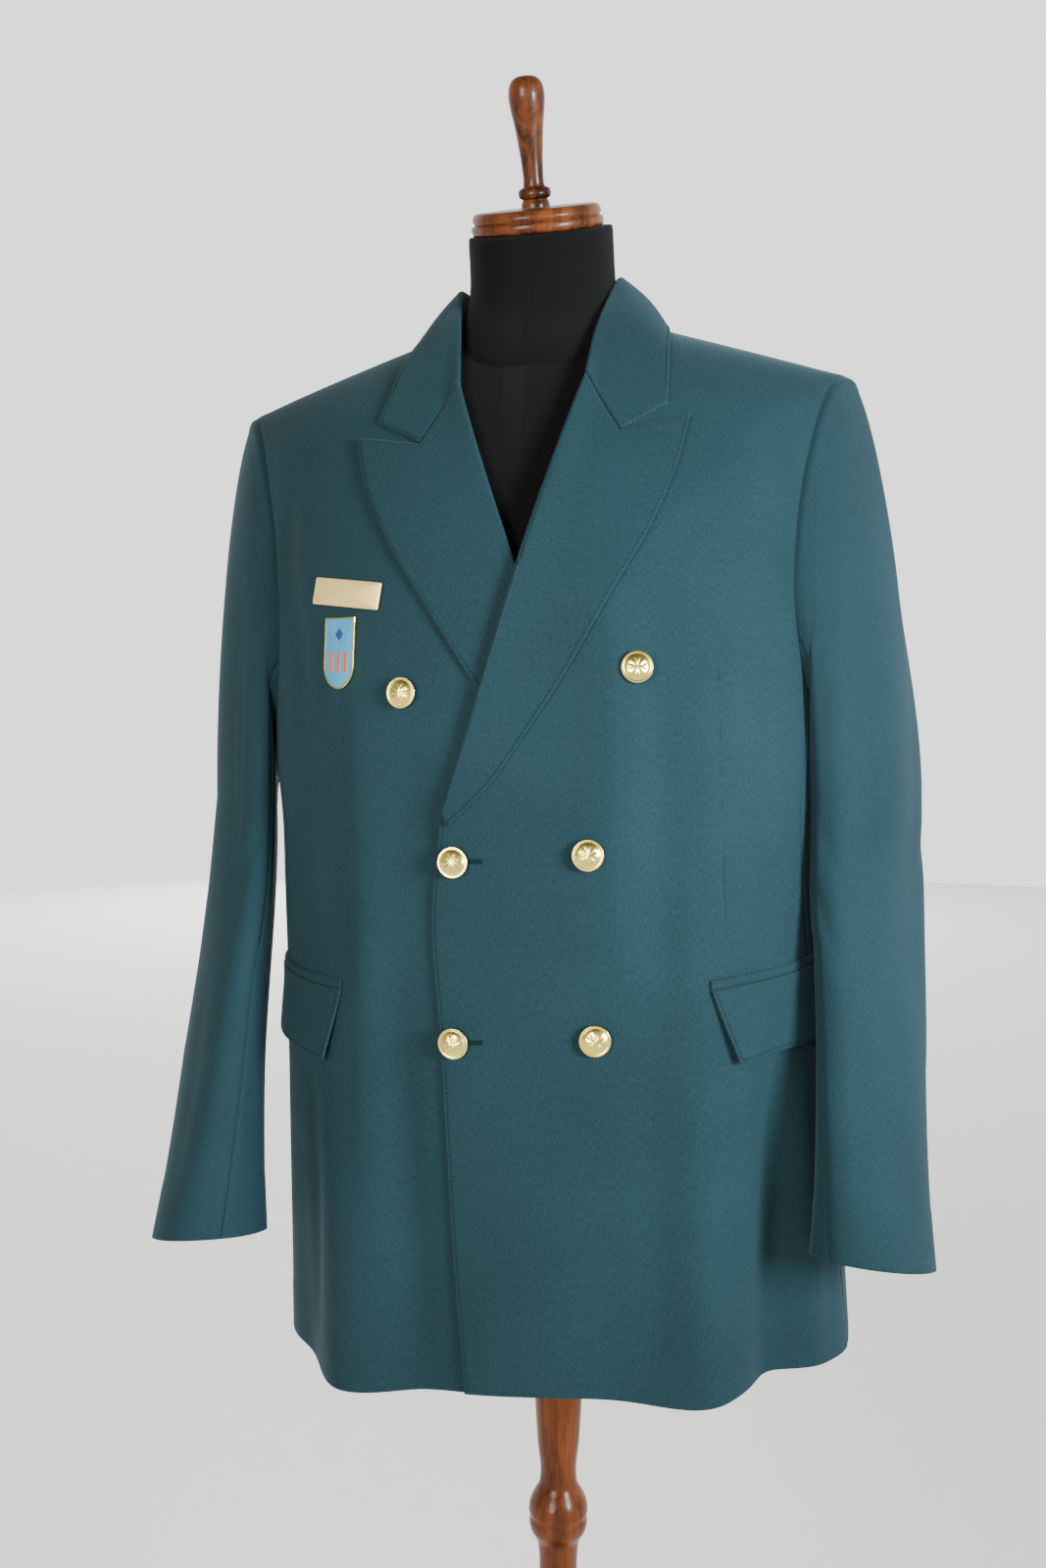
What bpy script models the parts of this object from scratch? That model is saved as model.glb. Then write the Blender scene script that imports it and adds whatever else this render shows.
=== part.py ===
"""Double-breasted uniform jacket on a limbless dress form with a turned wooden stand.

Metres, +Z up. The wearer faces -Y and the wearer's left is +X. The origin is the centre of the base's underside.
The cloth pieces are closed walls on one body surface, which is worked out from a table of rings."""

import math
from typing import NamedTuple

import bmesh
import bpy
import numpy as np
from mathutils import Matrix, Vector

# Driving dimensions
CLOTH = 0.0016  # thickness of every cloth wall
SEAM = 0.0003  # gap between two pieces that are sewn together
HEM_Z = 0.660
CHEST_Z = 1.100  # level of the underarm, where the rings stop being level
RIDGE_TOP_Z = 1.4376  # height at which the two shoulder lines would meet over the neck
SHOULDER_SLOPE = 0.31
RIDGE_Y = 0.002
SHOULDER_ROLL = 2.25  # squareness of the curve from the chest up over the shoulder
ROLL_DEEP = 0.13  # depth and height that the curve's length is measured for
ROLL_HIGH = 0.29
TIP_X = 0.232  # half of the shoulder width, seam to seam
FOLD_ROOM = 0.0045  # from the line a lapel folds on to the edge of the front under it
NECK_POINT_X = 0.078  # where the shoulder seam meets the neckline
BACK_NECK_DROP = 0.19  # how far the back neckline dips, as a share of the way from shoulder to chest level
CENTRE_SHIFT = 0.005  # how far the neck sits towards the wearer's left of the shoulders' middle
CENTRE_WIDTH = 0.14
BREAK_Z = 1.054  # where the lapel starts to turn
LAPEL_START = 0.004  # how far above it the lapel's own piece starts
CROSS_Z = 1.222  # where the two roll lines cross
LEAN = math.radians(1.9)  # the form leans on its pole towards the wearer's right
LEAN_Z = 0.93
SIDES = {"left": 1, "right": -1}


class Ring(NamedTuple):
    """A level section of the jacket: half width, depth in front of and behind its centre, squareness."""

    z: float
    half_width: float
    front: float
    back: float
    square: float
    centre_y: float


BODY_RINGS = (
    Ring(0.660, 0.2140, 0.150, 0.142, 2.35, -0.012),
    Ring(0.760, 0.2110, 0.150, 0.134, 2.40, -0.012),
    Ring(0.880, 0.2080, 0.151, 0.126, 2.42, -0.012),
    Ring(0.970, 0.2060, 0.152, 0.120, 2.42, -0.012),
    Ring(1.040, 0.2060, 0.152, 0.122, 2.42, -0.010),
    Ring(1.100, 0.2100, 0.152, 0.128, 2.42, -0.008),
)


class Shoulder(NamedTuple):
    """Half width of the body surface on the way up from the chest (0) to the shoulder line (1)."""

    rise: float
    half_width: float


SHOULDER_WIDTHS = (
    Shoulder(0.00, 0.2100),
    Shoulder(0.20, 0.2090),
    Shoulder(0.45, 0.2120),
    Shoulder(0.70, 0.2240),
    Shoulder(0.88, 0.2360),
    Shoulder(1.00, 0.2440),
)


class FrontEdge(NamedTuple):
    """How far each front passes the centre, by height."""

    z: float
    lap: float


FRONT_EDGES = (
    FrontEdge(0.660, 0.0540),
    FrontEdge(0.763, 0.0593),
    FrontEdge(0.900, 0.0617),
    FrontEdge(0.980, 0.0650),
    FrontEdge(1.054, 0.0560),
)


class Fold(NamedTuple):
    """A soft fold down the skirt: angle at its top and at the hem, width, depth at the hem, height it starts at."""

    top_deg: float
    hem_deg: float
    width_deg: float
    depth: float
    top_z: float


FOLDS = (
    Fold(30, 27, 9, 0.0140, 0.99),
    Fold(51, 48, 9, -0.0135, 0.97),
    Fold(70, 72, 9, 0.0040, 0.90),
    Fold(8, 10, 9, -0.0030, 0.95),
    Fold(-18, -19, 9, -0.0060, 1.00),
    Fold(-40, -36, 10, 0.0120, 1.00),
    Fold(-58, -58, 9, -0.0060, 0.95),
    Fold(118, 122, 11, 0.0070, 0.92),
    Fold(146, 146, 11, -0.0070, 0.95),
    Fold(-120, -118, 11, 0.0070, 0.92),
    Fold(-146, -148, 11, -0.0060, 0.95),
    Fold(168, 172, 10, 0.0050, 0.90),
)


class Dip(NamedTuple):
    """A stretch of hem that hangs lower: its angle, width and depth."""

    deg: float
    width_deg: float
    depth: float


HEM_DIPS = (
    Dip(-38, 24, 0.0110),
    Dip(24, 13, 0.0045),
)


class Armhole(NamedTuple):
    """The armhole, by the angle round it from the shoulder tip: body angle, and level (1 underarm, 2 shoulder)."""

    turn_deg: float
    body_deg: float
    level: float


ARMHOLE_FRONT = (
    Armhole(0, 70.5, 2.000),
    Armhole(30, 65.5, 1.800),
    Armhole(60, 62.5, 1.560),
    Armhole(90, 61.0, 1.330),
    Armhole(120, 65.0, 1.140),
    Armhole(150, 76.0, 1.030),
    Armhole(180, 91.0, 1.000),
)
ARMHOLE_BACK = (
    Armhole(180, 91.0, 1.000),
    Armhole(210, 105.0, 1.040),
    Armhole(240, 114.5, 1.160),
    Armhole(270, 117.0, 1.370),
    Armhole(300, 116.0, 1.600),
    Armhole(330, 113.0, 1.820),
    Armhole(360, 109.5, 2.000),
)
FRONT_JOIN_TURN = 122  # where the front and side panel seam meets the armhole
BACK_JOIN_TURN = 238  # where the side and back panel seam meets it
FRONT_TURNS = (122, 108, 90, 72, 54, 38, 24, 12, 0)  # where the rows of a front and the columns of a sleeve meet
UNDER_TURNS = (122, 140, 160, 180, 200, 220, 238)
BACK_TURNS = (238, 253, 268, 282, 296, 310, 324, 337, 349, 360)
SEAM_SHARES = (0, 0.12, 0.24, 0.36, 0.47, 0.57, 0.66, 0.73, 0.785, 0.795, 0.86, 0.93, 1)  # rows up a long seam


class Seam(NamedTuple):
    """A long body seam, by height level (0 hem, 1 underarm) and the body angle at the front and at the back seam."""

    level: float
    front_deg: float
    back_deg: float


SIDE_SEAMS = (
    Seam(0.00, 77.0, 109.0),
    Seam(0.30, 72.0, 110.0),
    Seam(0.60, 66.5, 112.0),
    Seam(0.85, 63.5, 113.5),
    Seam(1.14, 64.5, 114.5),
)


class SleeveRing(NamedTuple):
    """A section of a hanging sleeve, in the room's plumb frame: its middle for the left and right sleeve, how far it
    reaches outward (left and right), inward, to the front and to the back, and how far its front turns inward."""

    z: float
    x_left: float
    x_right: float
    y: float
    out_left: float
    out_right: float
    inn: float
    fore: float
    aft: float
    turn_deg: float


SLEEVE_RINGS = (
    SleeveRing(1.060, 0.2310, 0.2430, -0.012, 0.0350, 0.0300, 0.0170, 0.0820, 0.0700, 22),
    SleeveRing(0.970, 0.2340, 0.2460, -0.042, 0.0325, 0.0275, 0.0200, 0.0750, 0.0580, 27),
    SleeveRing(0.880, 0.2360, 0.2475, -0.070, 0.0330, 0.0300, 0.0225, 0.0680, 0.0540, 27),
    SleeveRing(0.800, 0.2355, 0.2480, -0.094, 0.0370, 0.0345, 0.0300, 0.0590, 0.0510, 24),
    SleeveRing(0.750, 0.2355, 0.2485, -0.110, 0.0420, 0.0390, 0.0380, 0.0520, 0.0500, 20),
)
SLEEVE_TOP_Z = 1.060
CUFF_Z = 0.750
RIGHT_CUFF_LOW = 0.012  # how much lower the right cuff hangs
CUFF_TILT = 0.26  # rise of the cuff's front edge per metre forward
CUFF_DROP = 0.10  # fall of the cuff per metre outward
SLEEVE_REACH = 0.05  # a sleeve's middle radius, near enough to turn a gap into an angle
CAP_PULL = (0.020, 0.034)  # how far the cap stands out from the armhole: under the arm, and more at its top
CAP_LENGTH = (0.045, 0.36)  # how straight it then falls: under the arm, and more at its top
FRONT_SEAM_TURN = 108
BACK_SEAM_TURN = 296


class Rail(NamedTuple):
    """The collar's outer edge, from centre back (0) to the gorge (1): sideways place on the left and on the right,
    height, 1 in front or -1 behind."""

    along: float
    x_left: float
    x_right: float
    z: float
    facing: int


FOLD_LINE = (
    (0.00, 0.0000, 0.0640, 1.4450),
    (0.20, 0.0330, 0.0550, 1.4465),
    (0.40, 0.0550, 0.0270, 1.4520),
    (0.55, 0.0600, -0.0080, 1.4500),
    (0.70, 0.0550, -0.0450, 1.4250),
    (0.85, 0.0490, -0.0800, 1.3930),
    (1.00, 0.0445, -0.1080, 1.3580),
)
COLLAR_EDGE = (
    Rail(0.00, 0.0000, 0.0000, 1.3920, -1),
    Rail(0.20, 0.0400, 0.0390, 1.3885, -1),
    Rail(0.40, 0.0790, 0.0745, 1.4000, -1),
    Rail(0.55, 0.0960, 0.0860, 1.4130, 1),
    Rail(0.70, 0.1010, 0.0905, 1.3900, 1),
    Rail(0.85, 0.1030, 0.0960, 1.3620, 1),
    Rail(1.00, 0.1030, 0.1030, 1.3340, 1),
)
NECK_ALONG = (0.0, 0.20, 0.40, 0.55, 0.70, 0.85, 1.0)
NECK_X = (0.0, 0.040, 0.0700, NECK_POINT_X, 0.0720, 0.0610, 0.0490)  # neckline under the collar
NECK_Z = (1.41, 1.4070, 1.3890, 1.3580)  # its height over the front, from the neck point to the gorge
REST = 0.0004  # gap between a layer of cloth and the layer it lies on
SOFT_ROLL = 0.0023  # radius of a soft fold
FLAT_ROLL = 0.0011  # radius of a pressed fold
COLLAR_ROLL = 0.0026  # radius of the collar's fold
COLLAR_BOW = 0.004  # how far the collar's fall bows out
STAND_FOOT = 0.0019  # how far the stand starts above the neckline
GORGE_GAP = 0.0012  # between collar and lapel, seen from the front


class LapelEdge(NamedTuple):
    """The lapel's outer edge from where it starts to turn (0) up to its peak (1), as seen from the front."""

    along: float
    x: float
    z: float


LAPEL_EDGE = (
    LapelEdge(0.00, -0.0500, 1.0500),
    LapelEdge(0.15, -0.0220, 1.0760),
    LapelEdge(0.30, 0.0060, 1.1130),
    LapelEdge(0.45, 0.0350, 1.1540),
    LapelEdge(0.60, 0.0640, 1.2020),
    LapelEdge(0.75, 0.0915, 1.2480),
    LapelEdge(0.90, 0.1110, 1.2950),
    LapelEdge(1.00, 0.1180, 1.3250),
)
GORGE = (0.0700, 1.3150)  # lower end of the seam between collar and lapel, seen from the front
GORGE_TOP = (0.0445, 1.3580)
COLLAR_POINT = (0.1030, 1.3340)
PEAK = (0.1180, 1.3250)

BUTTON_RADIUS = 0.01075
BUTTONS = (
    ("button_top_left", 0.0800, 1.1530, 1),
    ("button_top_right", -0.0805, 1.1420, -1),
    ("button_mid_left", 0.0445, 1.0295, 1),
    ("button_mid_right", -0.0470, 1.0260, 1),
    ("button_low_left", 0.0455, 0.9055, 1),
    ("button_low_right", -0.0510, 0.9030, 1),
)

FLAP_FRONT_DEG = {"left": (32.5, 37.5), "right": (36.0, 40.5)}  # its front edge, at its top and at its bottom
FLAP_BACK_DEG = 78.0
FLAP_TOP_Z = (0.9355, 0.9450)  # height of the flap's top at its front and back end
FLAP_DROP = 0.0500
FLAP_THICK = 0.0022
WELT_HIGH = 0.0065

PLATE = (0.0580, 0.0190, 0.0015)
PLATE_AT = (-0.1215, 1.2130)
PLATE_TURN = math.radians(7)
PIN_SIZE = (0.0270, 0.0500, 0.0018)
PIN_AT = (-0.1275, 1.1715)

FORM_INSET = 0.0021  # the form's shoulder under the jacket's outer surface
NECK_INSET = 0.0015
FORM_BOTTOM_Z = 0.745
NECK_TILT = math.radians(20)
NECK_TOP = (0.007, -0.020, 1.4870)
NECK_RADIUS = 0.0545
NECK_FLARE = 0.005
NECK_FOOT = (-0.004, 1.372)  # depth and height of the neck's middle inside the shoulders
CAP_SHIFT = -0.002  # how far the cap sits towards the wearer's right of the neck's middle

CAP_PROFILE = (
    (0.0000, 0.0165),
    (0.0430, 0.0165),
    (0.0462, 0.0156),
    (0.0480, 0.0132),
    (0.0486, 0.0110),
    (0.0480, 0.0090),
    (0.0470, 0.0082),
    (0.0495, 0.0068),
    (0.0500, 0.0042),
    (0.0495, 0.0015),
    (0.0470, 0.0000),
    (0.0000, 0.0000),
)
FINIAL_PROFILE = (
    (0.0000, 0.0900),
    (0.0055, 0.0894),
    (0.0101, 0.0868),
    (0.0128, 0.0815),
    (0.0134, 0.0760),
    (0.0128, 0.0690),
    (0.0108, 0.0570),
    (0.0092, 0.0430),
    (0.0080, 0.0300),
    (0.0076, 0.0200),
    (0.0081, 0.0150),
    (0.0115, 0.0128),
    (0.0124, 0.0100),
    (0.0117, 0.0072),
    (0.0094, 0.0058),
    (0.0105, 0.0030),
    (0.0109, 0.0000),
    (0.0000, 0.0000),
)
POLE_PROFILE = (
    (0.0000, 0.7431),
    (0.0200, 0.7431),
    (0.0202, 0.6600),
    (0.0192, 0.6000),
    (0.0166, 0.5500),
    (0.0142, 0.5250),
    (0.0150, 0.5160),
    (0.0200, 0.5060),
    (0.0228, 0.4990),
    (0.0234, 0.4930),
    (0.0222, 0.4890),
    (0.0231, 0.4850),
    (0.0222, 0.4790),
    (0.0165, 0.4680),
    (0.0150, 0.4500),
    (0.0172, 0.3600),
    (0.0205, 0.2300),
    (0.0215, 0.1700),
    (0.0200, 0.1200),
    (0.0170, 0.0900),
    (0.0240, 0.0780),
    (0.0270, 0.0700),
    (0.0270, 0.0343),
    (0.0000, 0.0343),
)
BASE_PROFILE = (
    (0.0000, 0.0340),
    (0.0600, 0.0340),
    (0.1000, 0.0310),
    (0.1500, 0.0270),
    (0.1680, 0.0240),
    (0.1750, 0.0170),
    (0.1760, 0.0090),
    (0.1720, 0.0020),
    (0.1680, 0.0000),
    (0.0000, 0.0000),
)


def column(rows, name):
    return np.array([getattr(row, name) for row in rows], float)


def read(keys, values, at):
    """Monotone cubic through a table's rows, so that a curve never overshoots a row."""
    keys = np.asarray(keys, float)
    values = np.asarray(values, float)
    at = np.clip(np.asarray(at, float), keys[0], keys[-1])
    step = np.diff(keys)
    slope = np.diff(values) / step
    tangent = np.empty_like(values)
    tangent[0] = slope[0]
    tangent[-1] = slope[-1]
    same = slope[:-1] * slope[1:] > 0
    weight_a = 2 * step[1:] + step[:-1]
    weight_b = step[1:] + 2 * step[:-1]
    with np.errstate(divide="ignore", invalid="ignore"):
        mean = (weight_a + weight_b) / (weight_a / slope[:-1] + weight_b / slope[1:])
    tangent[1:-1] = np.where(same, mean, 0.0)
    row = np.clip(np.searchsorted(keys, at, side="right") - 1, 0, len(step) - 1)
    part = (at - keys[row]) / step[row]
    return (
        values[row] * (1 + 2 * part) * (1 - part) ** 2
        + tangent[row] * step[row] * part * (1 - part) ** 2
        + values[row + 1] * part**2 * (3 - 2 * part)
        + tangent[row + 1] * step[row] * part**2 * (part - 1)
    )


def ease(value, low, high):
    """0 below low, 1 above high, and a smooth step between."""
    part = np.clip((value - low) / (high - low), 0, 1)
    return part * part * (3 - 2 * part)


def signed_power(value, power):
    return np.sign(value) * np.abs(value) ** power


def ridge_z(x):
    """Height of the shoulder line, with its peak over the neck rounded off."""
    return RIDGE_TOP_Z - SHOULDER_SLOPE * np.sqrt(x * x + 0.0002)


ROLL_TURN = np.linspace(0, math.pi / 2, 400)
ROLL_OUT = np.cos(ROLL_TURN) ** (2 / SHOULDER_ROLL)
ROLL_UP = np.sin(ROLL_TURN) ** (2 / SHOULDER_ROLL)
ROLL_LENGTH = np.concatenate(
    [[0], np.cumsum(np.hypot(ROLL_DEEP * np.diff(ROLL_OUT), ROLL_HIGH * np.diff(ROLL_UP)))]
)
ROLL_SHARE = ROLL_LENGTH / ROLL_LENGTH[-1]


def shoulder_roll(rise):
    """Shares of the depth left and of the height gained, at a share of the way up over the shoulder."""
    turn = np.interp(rise, ROLL_SHARE, ROLL_TURN)
    return np.cos(turn) ** (2 / SHOULDER_ROLL), np.sin(turn) ** (2 / SHOULDER_ROLL)


def fold_depth(angle, z):
    """How far the folds move the skirt out, each a bell across its angle that deepens towards the hem."""
    total = 0.0
    for fold in FOLDS:
        down = np.clip((fold.top_z - z) / (fold.top_z - HEM_Z), 0, 1)
        middle = np.radians(fold.top_deg + (fold.hem_deg - fold.top_deg) * down)
        away = (angle - middle + math.pi) % (2 * math.pi) - math.pi
        total = total + fold.depth * down**1.4 * np.exp(-((away / math.radians(fold.width_deg)) ** 2))
    return total


def hem_dip(angle):
    total = 0.0
    for dip in HEM_DIPS:
        away = (angle - math.radians(dip.deg) + math.pi) % (2 * math.pi) - math.pi
        total = total + dip.depth * np.exp(-((away / math.radians(dip.width_deg)) ** 2))
    return total


def shifted(x):
    """Sideways place with the middle moved towards the wearer's left and the sides left where they are."""
    return x + CENTRE_SHIFT * np.exp(-((x / CENTRE_WIDTH) ** 2))


def body(angle, level, narrow=0.0, ease_in=0.0, sink=0.0):
    """The jacket's outer surface by angle from centre front towards the wearer's left, and level: 0 is the hem, 1 the
    underarm and 2 the shoulder line. Rings are superellipses; above the underarm the depth shrinks and the height grows on a
    superellipse quarter that ends on the shoulder line. The last three make the same surface smaller, for the form."""
    angle, level = np.broadcast_arrays(np.asarray(angle, float), np.asarray(level, float))
    z_ring = HEM_Z + (CHEST_Z - HEM_Z) * np.minimum(level, 1)
    rise = np.clip(level - 1, 0, 1)
    key = column(BODY_RINGS, "z")
    power = 2 / read(key, column(BODY_RINGS, "square"), z_ring)
    grown = read(column(SHOULDER_WIDTHS, "rise"), column(SHOULDER_WIDTHS, "half_width"), rise)
    half = np.where(level > 1, grown, read(key, column(BODY_RINGS, "half_width"), z_ring)) - narrow
    front = read(key, column(BODY_RINGS, "front"), z_ring)
    back = read(key, column(BODY_RINGS, "back"), z_ring)
    middle = read(key, column(BODY_RINGS, "centre_y"), z_ring)
    swell = fold_depth(angle, z_ring) if ease_in == 0 else -ease_in * np.ones_like(z_ring)
    x = (half + swell * (ease_in == 0)) * signed_power(np.sin(angle), power)
    depth = np.where(np.cos(angle) > 0, front, back) + swell
    y_ring = middle - depth * signed_power(np.cos(angle), power)
    out, up = shoulder_roll(rise)
    top = ridge_z(x) - sink
    y = RIDGE_Y + (y_ring - RIDGE_Y) * out
    z = z_ring + (top - CHEST_Z) * up - hem_dip(angle) * np.maximum(1 - level, 0) ** 3
    return np.stack([shifted(x), y, z], axis=-1)


def normal_of(surface, a, b, most_b=1.999):
    """Unit normal of a surface function, from small steps either way."""
    b = np.minimum(b, most_b - 1e-3)
    along = surface(a + 1e-4, b) - surface(a - 1e-4, b)
    up = surface(a, b + 1e-4) - surface(a, b - 1e-4)
    normal = np.cross(along, up)
    return normal / np.maximum(np.linalg.norm(normal, axis=-1, keepdims=True), 1e-12)


def outer(angle, level, lift=0.0):
    """A point of the body surface, moved out along its normal."""
    lift = np.asarray(lift, float)
    return body(angle, level) + normal_of(body, angle, level) * lift[..., None]


def front_chart(x, z):
    """Body angle and level of the point of the front that is seen at x, z from straight ahead."""
    x, z = np.broadcast_arrays(np.asarray(x, float), np.asarray(z, float))
    low = (z - HEM_Z) / (CHEST_Z - HEM_Z)
    climb = np.clip((z - CHEST_Z) / (ridge_z(x) - CHEST_Z), 0, 1)
    rise = np.interp(climb, ROLL_UP, ROLL_SHARE)
    level = np.where(z > CHEST_Z, 1 + rise, low)
    key = column(BODY_RINGS, "z")
    ring_z = np.minimum(z, CHEST_Z)
    grown = read(column(SHOULDER_WIDTHS, "rise"), column(SHOULDER_WIDTHS, "half_width"), rise)
    half = np.where(z > CHEST_Z, grown, read(key, column(BODY_RINGS, "half_width"), ring_z))
    square = read(key, column(BODY_RINGS, "square"), ring_z)
    return np.arcsin(signed_power(np.clip(x / half, -1, 1), square / 2)), level


def left_lift(x, z):
    """How far the left front stands off the body surface, to pass over the right front and its lapel."""
    over = 0.0022 + 0.0023 * ease(z, 1.015, 1.060) + 0.0005 * (1 - ease(z, 0.67, 0.76))
    near = 1 - ease(x, 0.060, 0.150)
    low = 1 - ease(z, 1.230, 1.330)
    return over * near * low


def settle(points, clear):
    """Moves points that lie nearer to the body surface than a clearance, or under it, out to that clearance. The
    nearest body point is found by Gauss-Newton steps in angle and level."""
    behind = points[..., 1] > RIDGE_Y
    angle, level = front_chart(points[..., 0], points[..., 2])
    angle = np.where(behind, math.pi - angle, angle)
    for _ in range(12):
        level = np.clip(level, 0.0, 1.995)
        here = body(angle, level)
        along = (body(angle + 1e-4, level) - here) / 1e-4
        up = (body(angle, level + 1e-4) - here) / 1e-4
        away = points - here
        aa, bb, ab = (along * along).sum(-1), (up * up).sum(-1), (along * up).sum(-1)
        ra, rb = (away * along).sum(-1), (away * up).sum(-1)
        scale = np.maximum(aa * bb - ab * ab, 1e-12)
        angle = angle + np.clip((ra * bb - rb * ab) / scale, -0.2, 0.2)
        level = level + np.clip((rb * aa - ra * ab) / scale, -0.2, 0.2)
    level = np.clip(level, 0.0, 1.995)
    normal = normal_of(body, angle, level)
    height = ((points - body(angle, level)) * normal).sum(-1)
    return points + normal * np.maximum(clear - height, 0)[..., None]


def lift_of(side, angle, level):
    if side < 0:
        return np.zeros(np.broadcast(angle, level).shape)
    point = body(angle, level)
    return left_lift(point[..., 0], point[..., 2])


def front_face(side, angle, level, more=0.0):
    """A point over a front panel, moved out from the panel's own outer surface."""
    lift = lift_of(side, angle, level) + more
    return outer(angle, level, lift)


def front_view(side, x, z, more=0.0):
    """The same by the place seen from straight ahead; x counts outward from the centre on either side."""
    angle, level = front_chart(side * np.asarray(x, float), z)
    return front_face(side, angle, level, more)


def leant(points):
    """Turned with the form, which leans about the front-to-back axis."""
    points = np.array(points, float)
    x = points[..., 0].copy()
    z = points[..., 2] - LEAN_Z
    points[..., 0] = x * math.cos(LEAN) - z * math.sin(LEAN)
    points[..., 2] = LEAN_Z + x * math.sin(LEAN) + z * math.cos(LEAN)
    return points


def paint(name, colour, roughness, metallic=0.0):
    material = bpy.data.materials.new(name)
    material.use_nodes = True
    shader = material.node_tree.nodes["Principled BSDF"]
    shader.inputs["Base Color"].default_value = (*colour, 1.0)
    shader.inputs["Roughness"].default_value = roughness
    shader.inputs["Metallic"].default_value = metallic
    material.diffuse_color = (*colour, 1.0)
    return material


def object_of(name, points, faces, material, lean=True):
    """A mesh object in the jacket's collection, its faces turned outward."""
    points = np.asarray(points, float).reshape(-1, 3)
    if lean:
        points = leant(points)
    mesh = bpy.data.meshes.new(name)
    mesh.from_pydata(points.tolist(), [], [list(map(int, face)) for face in faces])
    work = bmesh.new()
    work.from_mesh(mesh)
    bmesh.ops.remove_doubles(work, verts=work.verts, dist=2e-6)
    if work.calc_volume(signed=True) < 0:
        bmesh.ops.reverse_faces(work, faces=work.faces)
    work.to_mesh(mesh)
    work.free()
    mesh.shade_smooth()
    mesh.set_sharp_from_angle(angle=math.radians(40))
    made = bpy.data.objects.new(name, mesh)
    made.data.materials.append(material)
    bpy.data.collections["uniform_jacket"].objects.link(made)
    return made


def grid_faces(rows, columns, first, flip):
    """Quads of a grid of points numbered row by row."""
    low = (np.arange(rows - 1)[:, None] * columns + np.arange(columns - 1)[None, :]).ravel() + first
    quads = np.stack([low, low + 1, low + columns + 1, low + columns], axis=1)
    return quads[:, ::-1] if flip else quads


def wall(name, face, inside, material, lean=True):
    """A closed wall between a grid of outer points and the same grid of inner points, with its rim."""
    rows, columns = face.shape[:2]
    count = rows * columns
    ring = np.concatenate(
        [
            np.arange(columns),
            np.arange(1, rows) * columns + columns - 1,
            (rows - 1) * columns + np.arange(columns - 2, -1, -1),
            np.arange(rows - 2, 0, -1) * columns,
        ]
    )
    following = np.roll(ring, -1)
    rim = np.stack([following, ring, ring + count, following + count], axis=1)
    faces = np.concatenate(
        [grid_faces(rows, columns, 0, False), grid_faces(rows, columns, count, True), rim]
    )
    points = np.concatenate([face.reshape(-1, 3), inside.reshape(-1, 3)])
    return object_of(name, points, faces, material, lean)


def grid_normals(face, facing):
    """Unit normals of a grid of points, turned to the side that the given directions point to."""
    along = np.gradient(face, axis=1)
    up = np.gradient(face, axis=0)
    normal = np.cross(along, up)
    normal /= np.maximum(np.linalg.norm(normal, axis=-1, keepdims=True), 1e-12)
    turn = np.sign((normal * facing).sum(axis=-1, keepdims=True))
    return normal * np.where(turn == 0, 1, turn)


def armhole(turn):
    """Body angle and level of the armhole at a turn in radians, 0 at the shoulder tip and counted forward."""
    degrees = np.degrees(turn)
    rows = (ARMHOLE_FRONT, ARMHOLE_BACK)
    angle, level = (
        np.where(
            degrees <= 180,
            read(column(rows[0], "turn_deg"), column(rows[0], name), degrees),
            read(column(rows[1], "turn_deg"), column(rows[1], name), degrees),
        )
        for name in ("body_deg", "level")
    )
    return np.radians(angle), level


def armhole_angle(level, behind):
    """Body angle of the armhole's front or back edge at a level above its join with the side panel."""
    turns = np.radians(np.linspace(0, FRONT_JOIN_TURN, 80) if not behind else np.linspace(360, BACK_JOIN_TURN, 80))
    angles, levels = armhole(turns)
    return np.interp(level, levels[::-1], angles[::-1])


def join(behind):
    angle, level = armhole(np.radians(BACK_JOIN_TURN if behind else FRONT_JOIN_TURN))
    return float(angle), float(level)


def side_seam(level, behind):
    """Body angle of the long seam, which ends on the armhole, and of the armhole above it."""
    end_angle, end_level = join(behind)
    keys = column(SIDE_SEAMS, "level")
    keys[-1] = end_level
    degrees = column(SIDE_SEAMS, "back_deg" if behind else "front_deg")
    degrees[-1] = math.degrees(end_angle)
    seam = np.radians(read(keys, degrees, level))
    return np.where(level > end_level, armhole_angle(level, behind), seam)


def seam_gap(angle, level):
    """Body angle that half a seam gap takes up."""
    here = body(angle, level)
    return 0.5 * SEAM * 1e-3 / np.linalg.norm(body(angle + 1e-3, level) - here, axis=-1)


def neckline_x(z):
    """Inner edge of a front above the crossing: the roll line, then the neckline up to the shoulder seam."""
    heights = (CROSS_Z, GORGE_TOP[1] - 0.004, 1.395, ridge_z(NECK_POINT_X))
    places = (0.0, GORGE_TOP[0] - 0.001, 0.0640, NECK_POINT_X)
    return read(heights, places, z)


def roll_x(z):
    """The roll line, straight from the break through the crossing to the gorge."""
    slope = GORGE_TOP[0] / (GORGE_TOP[1] - CROSS_Z)
    return (z - CROSS_Z) * slope


def front_edge_x(z):
    """Front edge seen from ahead: the lap below the break and, above it, just inside the line the lapel folds on."""
    lap = read(column(FRONT_EDGES, "z"), column(FRONT_EDGES, "lap"), z)
    folded = np.where(z < GORGE_TOP[1] - 0.004, roll_x(z), neckline_x(z)) + FOLD_ROOM
    return np.where(z < BREAK_Z, -lap, folded)


def seam_levels(behind):
    return np.array(SEAM_SHARES) * join(behind)[1]


def front_levels():
    """Levels of a front panel's rows: up the side seam, then up the armhole."""
    _, above = armhole(np.radians(np.array(FRONT_TURNS[1:], float)))
    above[-1] = 2 - SEAM / 0.7
    return np.concatenate([seam_levels(False), above])


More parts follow.
